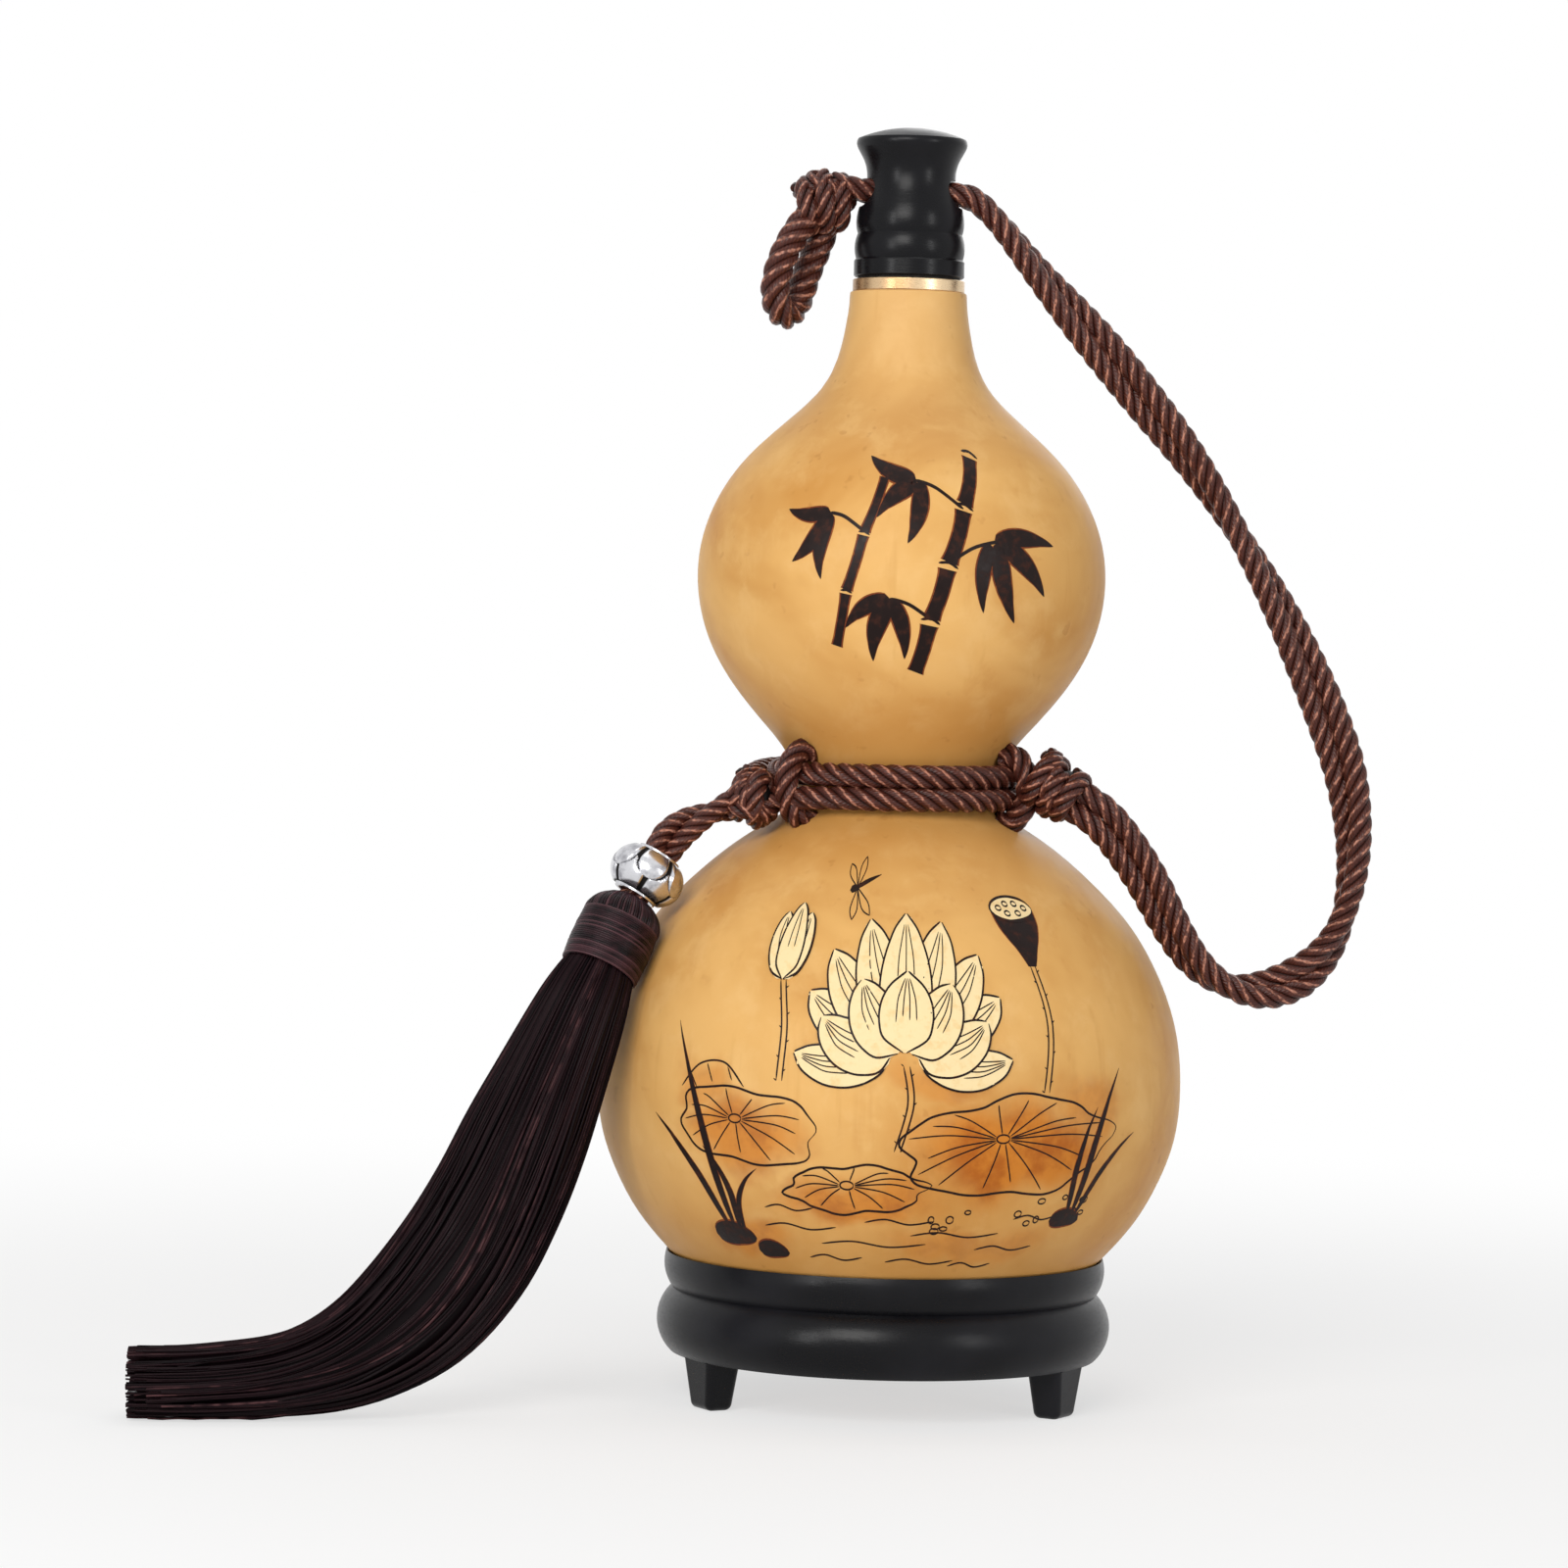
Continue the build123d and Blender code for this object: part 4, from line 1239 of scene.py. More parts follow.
@dataclass
class Tassel:
    """The tail cord with its silver bead, and the tassel's crown, binding and long skirt; in millimetres."""
    shop: RopeShop
    tail_route: tuple[Point, ...] = ((-34.0, -15.7, 131.9), (-37.3, -16.0, 130.6), (-43.9, -16.9, 127.9))
    tail_straight: float = 4.4
    tail_tuck: float = 1.5
    tail_strand: float = 4.6
    tail_spacing: float = 4.0
    tail_turn: float = 44.0
    tail_start: float = 0.6
    bead_centre: Point = (-53.9, -20.8, 115.6)
    bead_lean: Point = (-0.60, -0.26, -1.0)
    bead_radius: float = 8.3
    bead_length: float = 10.4
    bead_bore: float = 4.0
    bead_rim: float = 4.9
    bead_rim_share: float = 0.9
    bead_bow: float = 1.16
    bead_gap: float = 0.7
    bead_sides: int = 176
    bead_levels: int = 84
    petal_count: int = 6
    upper_petals: Span = (-0.88, 0.34)
    lower_petals: Span = (0.88, -0.50)
    groove_relief: float = 0.08
    bore_relief: float = 0.6
    rim_relief: float = 0.75
    carving_depth: float = 0.9
    crown_gap: float = 1.2
    crown_length: float = 5.6
    crown_top_radius: float = 3.4
    crown_radius: float = 8.4
    crown_threads: int = 96
    crown_thread_radius: float = 0.30
    crown_steps: int = 8
    crown_twist: float = 0.10
    crown_overlap: float = 1.04
    binding_length: float = 12.0
    binding_radius: float = 8.7
    binding_end_radius: float = 8.4
    binding_turns: int = 26
    binding_sides: int = 64
    binding_thread_radius: float = 0.29
    half_width: float = 12.6
    half_depth: float = 10.8
    skirt_route: tuple[Point, ...] = (
        (-66.9, -32.0, 87.5), (-72.8, -35.0, 73.0), (-78.0, -37.2, 60.3), (-83.6, -39.8, 47.2),
        (-90.6, -42.8, 34.4), (-100.2, -46.2, 22.7), (-112.4, -49.4, 14.2), (-126.5, -52.0, 9.7),
        (-143.0, -54.0, 8.0), (-160.0, -55.2, 7.6))
    width_shares: tuple[float, ...] = (0.77, 0.94, 1.07, 1.13, 1.16, 1.10, 0.90, 0.69, 0.60, 0.56)
    depth_shares: tuple[float, ...] = (0.81, 0.83, 0.83, 0.81, 0.80, 0.80, 0.83, 0.91, 0.96, 1.0)
    layers: tuple[SkirtLayer, ...] = (
        SkirtLayer("inner", 360, (0.20, 0.95), 0.35), SkirtLayer("outer", 330, (0.93, 1.01), 0.5))
    lock_count: int = 46
    lock_pull: Span = (0.45, 0.80)
    loose_odds: float = 0.04
    loose_swell: float = 3.0
    swirl: float = 0.30
    floor_gap: float = 0.45
    skirt_steps: int = 60
    ragged_steps: int = 6
    skirt_thread_radius: float = 0.26
    core_steps: int = 50
    core_short: int = 3
    core_sides: int = 56
    core_share: float = 0.91
    core_flutes: int = 9
    core_flute_depth: float = 0.02

    def __post_init__(self) -> None:
        """Works out the axes and the places along them, and gets the thread and its finishes ready."""
        self.satin, self.thread, self.tree = SatinBinding().make(), TasselThread().make(), thread_tree()
        self.bead_axis = Vector(self.bead_lean).normalized()
        self.bead_middle = Vector(self.bead_centre)
        self.hanger_top = self.bead_middle - self.bead_axis * (self.bead_length / 2 + self.bead_gap)
        self.crown_top = self.bead_middle + self.bead_axis * (self.bead_length / 2 + self.crown_gap)
        self.axis = (Vector(self.skirt_route[0]) - self.crown_top).normalized()
        self.binding_top = self.crown_top + self.axis * self.crown_length
        self.skirt_top = self.binding_top + self.axis * self.binding_length

    # the tail

    def tail_lines(self) -> list[Line]:
        """Twists the tail's two strands round its smooth line, which runs through the bead to the crown.

        Returns:
            The strands' middle lines, in metres.
        """
        route = [Vector(place) for place in self.tail_route]
        route += [self.hanger_top - self.bead_axis * self.tail_straight, self.hanger_top, self.bead_middle,
                  self.crown_top + self.bead_axis * self.tail_tuck]
        line = smooth_line("tail_line", [place * MM for place in route])
        strands: list[Line] = [[], []]
        gone = 0.0
        for index, place in enumerate(line):
            before, after = beside(line, index)
            gone += (place - before).length / MM
            ways = square_ways((after - before).normalized())
            turn = math.tau * gone / self.tail_turn + self.tail_start
            reach = round_way(*ways, turn) * self.tail_spacing / 2 * MM
            strands[0].append(place + reach)
            strands[1].append(place - reach)
        return strands

    def build_tail(self) -> list[tuple[Piece, Line]]:
        """Lays the tail's two strands.

        Returns:
            Each strand with its middle line, the front one first.
        """
        made = []
        for word, line in zip(("front", "rear"), self.tail_lines()):
            piece = self.shop.lay(f"tail_{word}", [line], self.tail_strand, self.shop.tight_pitch)
            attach(piece, "tassel")
            made.append((piece, line))
        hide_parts("tail_cord", "tassel_hanger")
        LOG.info("tail: %.1f mm of doubled cord", line_length(made[0][1]) / MM)
        return made

    # the bead

    def petal_height(self, around: float, along: float, rim: float, tip: float, shift: float) -> float:
        """How high one row's petals stand at a place on the bead.

        Args:
            around: The share of a turn round the bead.
            along: From -1 at the upper rim to 1 at the lower.
            rim: Where the petals grow from, in the same measure.
            tip: Where they end.
            shift: The share of a petal by which the row is turned.

        Returns:
            From 0 on a petal's outline to 1 on its crown, or less than 0 outside every petal.
        """
        side = ((around * self.petal_count + shift) % 1.0) - 0.5
        share = (along - rim) / (tip - rim)
        if not 0.0 <= share < 1.0:
            return -1.0
        half = 0.495 * math.sqrt(1 - max(0.0, (share - 0.35) / 0.65) ** 2.4)
        edge = 1 - abs(side) / max(half, 0.001)
        return ease(edge / 0.30) * (0.74 + 0.26 * math.sin(math.pi * share)) if edge >= 0.0 else -1.0

    def petal_relief(self, around: float, along: float) -> float:
        """Finds how high the bead's carving stands: the upper row of petals lies over the lower one.

        Args:
            around: The share of a turn round the bead.
            along: From -1 at the upper rim to 1 at the lower.

        Returns:
            From 0 in the deepest groove to 1 on the crown of a petal.
        """
        if abs(along) > self.bead_rim_share:
            return self.rim_relief
        upper = self.petal_height(around, along, *self.upper_petals, 0.0)
        if upper >= 0.0:
            return upper
        return max(self.groove_relief, self.petal_height(around, along, *self.lower_petals, 0.5))

    def bead_profile(self) -> list[Span]:
        """Finds the bead's turned outline, before it is carved.

        Returns:
            The radius in millimetres and the place along the bead, from -1 to 1, from rim to rim.
        """
        profile = []
        for step in range(self.bead_levels + 1):
            along = -1 + 2 * step / self.bead_levels
            radius = self.bead_rim
            if abs(along) <= self.bead_rim_share:
                bow = math.sqrt(1 - (along / self.bead_bow) ** 2)
                radius += (self.bead_radius - self.bead_rim - 0.1) * (bow - 0.5) / 0.5
            profile.append((radius, along))
        return profile

    def build_bead(self) -> Piece:
        """Carves the lotus-petal bead with its bore.

        Returns:
            The bead.
        """
        half, sides, middle = self.bead_length / 2, self.bead_sides, self.bead_middle * MM
        outline = self.bead_profile()
        profile = [(radius, along * half) for radius, along in outline]
        rings = rings_about(middle, self.bead_axis, profile, sides)
        relief = []
        for (_, along), ring in zip(outline, rings):
            axis_place = (self.bead_middle + self.bead_axis * (along * half)) * MM
            for step in range(sides):
                height = self.petal_relief(step / sides, along)
                relief.append(height)
                outward = (ring[step] - axis_place).normalized()
                ring[step] = ring[step] + outward * (height - self.rim_relief) * self.carving_depth * MM
        bore = rings_about(middle, self.bead_axis, [(self.bead_bore, place) for place in (half, 0.0, -half)],
                           sides)
        rows = rings + bore + [[place.copy() for place in rings[0]]]
        relief += [self.bore_relief] * (len(bore) * sides) + relief[:sides]
        piece = surface_mesh("silver_bead_carved", rows, CarvedSilver().make(), capped=False)
        keep_numbers(piece.data, "relief", relief)
        trim = bmesh.new()
        trim.from_mesh(piece.data)
        bmesh.ops.remove_doubles(trim, verts=trim.verts, dist=1e-7)
        bmesh.ops.recalc_face_normals(trim, faces=trim.faces)
        trim.to_mesh(piece.data)
        trim.free()
        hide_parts("silver_bead")
        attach(piece, "bead")
        LOG.info("bead: %d petals in each of two rows", self.petal_count)
        return piece

    # crown and binding

    def crown_radius_at(self, share: float) -> float:
        """The crown's radius at a share of its length, where the threads fold over and down."""
        return self.crown_top_radius + (self.crown_radius - self.crown_top_radius) * math.sin(
            math.pi / 2 * min(1.0, share * 1.15)) ** 0.72

    def build_crown(self) -> Piece:
        """Folds the crown's threads from the bead down to the binding, over a smooth core.

        Returns:
            The threads.
        """
        chance = random.Random(SEED)
        origin = self.crown_top * MM
        ways = square_ways(self.axis)
        lines, shades = [], []
        for index in range(self.crown_threads):
            turn = math.tau * (index + chance.uniform(-0.3, 0.3)) / self.crown_threads
            lift = chance.uniform(-0.12, 0.14)
            line = []
            for step in range(self.crown_steps + 1):
                share = step / self.crown_steps
                radius = self.crown_radius_at(share) - 0.1 + lift
                line.append(origin + round_way(*ways, turn + self.crown_twist * share) * radius * MM
                            + self.axis * self.crown_length * share * self.crown_overlap * MM)
            lines.append(line)
            shades.append(chance.random())
        piece = clothe(chain_object("tassel_crown_threads", lines, shades), self.tree,
                       Radius=self.crown_thread_radius * MM, Sides=6, Finish=self.satin)
        levels = [step / 10 for step in range(11)]
        profile = [(0.2, 0.15)]
        profile += [(self.crown_radius_at(share) - 0.15, self.crown_length * share) for share in levels]
        profile += [(0.2, self.crown_length)]
        core = surface_mesh("tassel_crown_core", rings_about(origin, self.axis, profile, 48), self.satin)
        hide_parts("tassel_crown")
        for made in (piece, core):
            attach(made, "tassel")
        return piece

    def build_binding(self) -> Piece:
        """Winds the satin binding round the tassel's neck thread by thread, over a smooth core.

        Returns:
            The threads.
        """
        chance = random.Random(SEED + 1)
        origin = self.binding_top * MM
        ways = square_ways(self.axis)
        end_radius, swell = self.binding_end_radius, self.binding_radius - self.binding_end_radius
        lines, shades = [], []
        for turn in range(self.binding_turns):
            line = []
            wobble = chance.uniform(-0.06, 0.06)
            for step in range(self.binding_sides + 1):
                share = (turn + step / self.binding_sides) / self.binding_turns
                angle = math.tau * step / self.binding_sides
                radius = end_radius + swell * math.sin(math.pi * share) - 0.05
                wave = wobble * math.sin(3 * angle + turn)
                line.append(origin + round_way(*ways, angle) * (radius + wave) * MM
                            + self.axis * self.binding_length * share * MM)
            lines.append(line)
            shades.append(chance.random())
        piece = clothe(chain_object("tassel_binding_threads", lines, shades), self.tree,
                       Radius=self.binding_thread_radius * MM, Sides=6, Finish=self.satin)
        profile = [(end_radius - 0.25, 0.0), (self.binding_radius - 0.25, self.binding_length / 2),
                   (end_radius - 0.25, self.binding_length)]
        core = surface_mesh("tassel_binding_core", rings_about(origin, self.axis, profile, 64), self.satin)
        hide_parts("tassel_binding")
        for made in (piece, core):
            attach(made, "tassel")
        return piece

    # the skirt

    def skirt_frames(self, count: int) -> list[tuple[Vector, Vector, Vector, float, float]]:
        """Frames along the skirt.

        Args:
            count: How many frames.

        Returns:
            The middle, the ways across and deep, and the half width and depth, in millimetres.
        """
        start_radius = self.binding_end_radius - 0.7
        middles = [self.skirt_top] + [Vector(place) for place in self.skirt_route]
        widths = [start_radius] + [self.half_width * share for share in self.width_shares]
        depths = [start_radius] + [self.half_depth * share for share in self.depth_shares]

        def read(values: list, share: float) -> object:
            """Reads a list on the smooth curve through its entries.

            Args:
                values: The entries, numbers or vectors.
                share: How far along the list, from 0 to 1.

            Returns:
                The value there.
            """
            spot = share * (len(values) - 1)
            index = min(int(spot), len(values) - 2)
            return curve_between(values, index, spot - index)

        frames = []
        for step in range(count + 1):
            share = step / count
            along = self.axis
            if step:
                along = (read(middles, min(share + 0.01, 1.0)) - read(middles, share - 0.01)).normalized()
            ways = square_ways(along)
            frames.append((read(middles, share), *ways, read(widths, share), read(depths, share)))
        return frames

    def skirt_threads(self, layer: SkirtLayer) -> tuple[list[Line], list[float]]:
        """Finds the middle lines of a layer's threads, which gather into locks on their way down.

        Args:
            layer: The layer.

        Returns:
            The lines in metres and a shade for each.
        """
        chance = random.Random(SEED + layer.count)
        steps = self.skirt_steps
        frames = self.skirt_frames(steps)
        locks = [(math.tau * (lock + chance.uniform(-0.35, 0.35)) / self.lock_count,
                  chance.uniform(*layer.shell), chance.uniform(0, math.tau))
                 for lock in range(self.lock_count)]
        lines, shades = [], []
        for index in range(layer.count):
            angle = math.tau * (index + chance.uniform(-0.5, 0.5)) / layer.count
            lock = int(index / layer.count * self.lock_count) % self.lock_count
            lock_angle, lock_share, phase = locks[lock]
            own = chance.uniform(*layer.shell)
            second, third = chance.uniform(0, math.tau), chance.uniform(0, math.tau)
            wander = layer.stray * chance.uniform(0.4, 1.0)
            wander *= self.loose_swell if chance.random() < self.loose_odds else 1.0
            pull = chance.uniform(*self.lock_pull)
            stop = steps - int(chance.random() ** 1.5 * self.ragged_steps)
            line = []
            for step in range(stop + 1):
                share = step / steps
                middle, across, deep, width, depth = frames[step]
                gather = pull * ease(share * 1.3)
                turn = angle + (lock_angle - angle) * gather
                turn += 0.10 * math.sin(3.1 * share * math.tau / 2 + phase) * share + self.swirl * share
                girth = own + (lock_share - own) * gather
                loose = wander * (0.12 + 0.88 * share * share)
                aside = width * girth * math.cos(turn) + loose * math.sin(2.1 * math.tau * share + second)
                inward = depth * girth * math.sin(turn) + loose * math.cos(1.7 * math.tau * share + third)
                place = middle + across * aside + deep * inward
                place.z = max(place.z, self.floor_gap + 0.35 * chance.random())
                line.append(place * MM)
            lines.append(line)
            shades.append(chance.random() * 0.6 + 0.4 * (0.5 + 0.5 * math.sin(phase)))
        return lines, shades

    def build_skirt(self) -> None:
        """Hangs the skirt: a dark fluted core and the layers of threads round it."""
        angles = [math.tau * step / self.core_sides for step in range(self.core_sides)]
        flutes = [self.core_share + self.core_flute_depth * math.sin(angle * self.core_flutes + 0.5)
                  for angle in angles]
        frames = self.skirt_frames(self.core_steps)[:-self.core_short]
        rows = [[(middle + across * width * flute * math.cos(angle)
                  + deep * depth * flute * math.sin(angle)) * MM for angle, flute in zip(angles, flutes)]
                for middle, across, deep, width, depth in frames]
        core = surface_mesh("tassel_skirt_core", rows, self.thread)
        keep_numbers(core.data, "shade", [0.25] * len(core.data.vertices))
        made = [core]
        for layer in self.layers:
            lines, shades = self.skirt_threads(layer)
            made.append(clothe(chain_object(f"tassel_skirt_{layer.word}", lines, shades), self.tree,
                               Radius=self.skirt_thread_radius * MM, Sides=4, Finish=self.thread))
        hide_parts("tassel_skirt")
        for piece in made:
            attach(piece, "tassel")
        LOG.info("skirt: %d pieces", len(made))

    def build(self) -> None:
        """Builds the whole tassel."""
        tail = self.build_tail()
        bead, crown, binding = self.build_bead(), self.build_crown(), self.build_binding()
        self.build_skirt()


# the gourd and its pyrography

class Ink(Enum):
    """What a mark on the gourd is made with."""
    BLACK = "burnt_black"
    SCORCH = "scorched_edge"
    CREAM = "cream_fill"


class Taper(Enum):
    """How a mark's width runs along it."""
    PEN = "pen"
    STEM = "stem"
    LEAF = "leaf"
    PETAL = "petal"
    CONE = "cone"

    def share(self, t: float) -> float:
        """Finds how much of its full width a mark has.

        Args:
            t: The share of the mark's length.

        Returns:
            The share of its width there.
        """
        if self is Taper.PEN:
            return min(1.0, 0.30 + 7 * t, 0.30 + 7 * (1 - t))
        if self is Taper.STEM:
            return 0.84 + 0.16 * (2 * t - 1) ** 4
        if self is Taper.CONE:
            return 0.16 + 0.84 * math.sin(math.pi / 2 * t) ** 1.3
        if self is Taper.LEAF:
            return max(0.02, math.sin(math.pi * t ** 0.62)) ** 0.9
        return max(0.01, math.sin(math.pi * t ** 0.82)) ** 0.62


def curved(places: list[Flat], spacing: float) -> Line:
    """Points along a smooth curve through flat places.

    Args:
        places: The places that the curve goes through, in millimetres of surface.
        spacing: About how far apart the points are.

    Returns:
        The points as flat vectors.
    """
    knots = [Vector(place) for place in places]
    points = []
    for index in range(len(knots) - 1):
        steps = max(2, math.ceil((knots[index + 1] - knots[index]).length / spacing))
        points += [curve_between(knots, index, step / steps) for step in range(steps)]
    return points + [knots[-1]]


class Painter:
    """Burns marks into one bulb of the gourd: thin closed ribbons that lie on its skin.

    Places are flat, in millimetres round the bulb and up from the floor.
    """
    RAY_START = 0.12
    SUNK = -0.12
    COLUMN = 1.4
    PETAL_RISE = 0.022

    def __init__(self, skin: BVHTree, girth: float) -> None:
        """Sets the bulb up.

        Args:
            skin: The gourd's skin.
            girth: The bulb's greatest radius in millimetres, by which distances round it are laid off.
        """
        self.skin = skin
        self.girth = girth
        self.sheets = {ink: bmesh.new() for ink in Ink}
        self.depth = 0.0
        self.chance = random.Random(SEED)

    def spot(self, place: Vector, lift: float) -> Vector:
        """Finds a place on the skin.

        Args:
            place: The flat place.
            lift: How far it stands off the skin, in millimetres.

        Returns:
            The place in the scene, in metres.
        """
        turn = place.x / self.girth
        outward = Vector((math.sin(turn), -math.cos(turn), 0.0))
        start = outward * self.RAY_START + Vector((0.0, 0.0, place.y * MM))
        hit, normal, _, _ = self.skin.ray_cast(start, -outward)
        if normal.dot(outward) < 0:
            normal = -normal
        return hit + normal * lift * MM

    def mark(self, ink: Ink, places: list[Flat], width: float, taper: Taper = Taper.PEN, lift: float = 0.05,
             spacing: float = 0.8) -> tuple[Line, Line]:
        """Makes one mark.

        Args:
            ink: What it is made with.
            places: Flat places that it goes through.
            width: Its greatest width.
            taper: How its width runs.
            lift: How far its face stands off the skin.
            spacing: The length of its steps.

        Returns:
            Its left and right edges as flat points.
        """
        line = curved(places, spacing)
        columns = max(1, math.ceil(width / self.COLUMN))
        sheet = self.sheets[ink]
        rings, left, right = [], [], []
        for index, place in enumerate(line):
            before, after = beside(line, index)
            along = (after - before).normalized()
            side = Vector((-along.y, along.x)) * width / 2 * taper.share(index / (len(line) - 1))
            left.append(place + side)
            right.append(place - side)
            row = [place + side * (1 - 2 * column / columns) for column in range(columns + 1)]
            ring = [sheet.verts.new(self.spot(flat, lift)) for flat in row]
            ring += [sheet.verts.new(self.spot(flat, self.SUNK)) for flat in reversed(row)]
            rings.append(ring)
        for here, there in zip(rings, rings[1:]):
            for step, corner in enumerate(here):
                after = (step + 1) % len(here)
                sheet.faces.new((corner, there[step], there[after], here[after]))
        sheet.faces.new(rings[0])
        sheet.faces.new(list(reversed(rings[-1])))
        return left, right

    def burn(self, places: list[Flat], width: float, edge: float, taper: Taper, lift: float = 0.06) -> None:
        """Burns a bold black mark on a scorched one, which is wider by the edge."""
        self.mark(Ink.SCORCH, places, width + edge, taper, 0.03)
        self.mark(Ink.BLACK, places, width, taper, lift)

    def line(self, *places: Flat, width: float = 0.42, lift: float = 0.05) -> None:
        """Draws a fine black line through places."""
        self.mark(Ink.BLACK, list(places), width, lift=lift)

    def ring(self, centre: Flat, across: float, up: float, width: float = 0.36, lift: float = 0.05) -> None:
        """Draws an ellipse from its middle and half sizes."""
        turns = [math.radians(angle) for angle in range(0, 361, 30)]
        self.line(*[(centre[0] + across * math.cos(turn), centre[1] + up * math.sin(turn)) for turn in turns],
                  width=width, lift=lift)

    def petal(self, base: Flat, lean: float, length: float, width: float, bend: float, veins: int) -> None:
        """Paints a cream petal with its outline and veins, a little over the petals before it.

        Args:
            base: Where it grows from.
            lean: Its lean from upright in degrees, to the right.
            length: Its length.
            width: Its width.
            bend: How far its middle bows sideways.
            veins: How many veins run down from its tip.
        """
        way = Vector((math.sin(math.radians(lean)), math.cos(math.radians(lean))))
        side = Vector((way.y, -way.x))
        root = Vector(base)
        spine = [root + way * length * share + side * bend * math.sin(math.pi * share)
                 for share in (0.0, 0.3, 0.6, 0.85, 1.0)]
        self.depth += self.PETAL_RISE
        lift = 0.03 + self.depth
        left, right = self.mark(Ink.CREAM, spine, width, Taper.PETAL, lift, 1.0)
        for edge in (left, right):
            self.line(*edge[::3], edge[-1], width=0.46, lift=lift + 0.010)
        for index in range(veins):
            off = (index - (veins - 1) / 2) / veins * width * 0.52
            reach = 0.55 + 0.12 * self.chance.random() - 0.12 * abs(off) / width
            vein = []
            for share in (1 - reach, 0.6 + 0.1 * (1 - reach), 0.78, 0.92):
                aside = bend * math.sin(math.pi * share) + off * math.sin(math.pi * share ** 0.9)
                vein.append(root + way * length * share + side * aside)
            self.line(*vein, width=0.28, lift=lift + 0.010)

    def leaf(self, root: Flat, tip: Flat, width: float, bow: float, edge: float = 0.7) -> None:
        """Burns a solid black leaf with a scorched edge.

        Args:
            root: Where it grows from.
            tip: Where it ends.
            width: Its greatest width.
            bow: How far its middle bows sideways.
            edge: How much wider its scorched edge is.
        """
        start, end = Vector(root), Vector(tip)
        along = end - start
        side = Vector((along.y, -along.x)).normalized() * bow
        spine = [start, start + along * 0.4 + side, start + along * 0.75 + side * 0.8, end]
        self.burn(spine, width, edge, Taper.LEAF)

    def pad(self, centre: Flat, across: float, up: float, waves: int, tilt: float, veins: int) -> None:
        """Draws a broad water leaf: its wavy rim, its heart and its veins.

        Args:
            centre: Its middle.
            across: Its half width.
            up: Its half height.
            waves: How many waves its rim has.
            tilt: How it lies: a quarter of its slope in degrees, and its waves' start.
            veins: How many veins run out from its heart.
        """
        rim = []
        steps = 40
        slope = math.radians(tilt * 4)
        for step in range(steps + 1):
            turn = math.tau * step / steps
            swell = 1 + 0.07 * math.sin(waves * turn + tilt) + 0.04 * math.sin((waves + 4) * turn)
            x, y = across * swell * math.cos(turn), up * swell * math.sin(turn)
            rim.append((centre[0] + x * math.cos(slope) - y * math.sin(slope),
                        centre[1] + x * math.sin(slope) + y * math.cos(slope)))
        self.line(*rim, width=0.5)
        heart = (centre[0] - across * 0.12, centre[1] + up * 0.18)
        self.ring(heart, 1.5, 0.9)
        for index in range(veins):
            end = rim[int(index * steps / veins)]
            reach = 0.93 - 0.14 * self.chance.random()
            away = (end[0] - heart[0], end[1] - heart[1])
            turn = math.atan2(away[1], away[0])
            start = (heart[0] + 1.8 * math.cos(turn), heart[1] + 1.1 * math.sin(turn))
            middle = ((start[0] + end[0]) / 2 + 0.6 * math.sin(turn * 2), (start[1] + end[1]) / 2 + 0.8)
            self.line(start, middle, (heart[0] + away[0] * reach, heart[1] + away[1] * reach), width=0.3)

    def keep(self, name: str, finishes: dict[Ink, Material]) -> None:
        """Turns the marks into pieces that ride with the gourd.

        Args:
            name: The picture's name, with which the pieces' names start.
            finishes: Each ink's material.
        """
        for ink, sheet in self.sheets.items():
            if not sheet.verts:
                sheet.free()
                continue
            bmesh.ops.recalc_face_normals(sheet, faces=sheet.faces)
            piece = mesh_piece(f"{name}_{ink.value}", sheet, finishes[ink])
            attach(piece, "gourd")
            LOG.info("%s: %d faces", piece.name, len(piece.data.polygons))


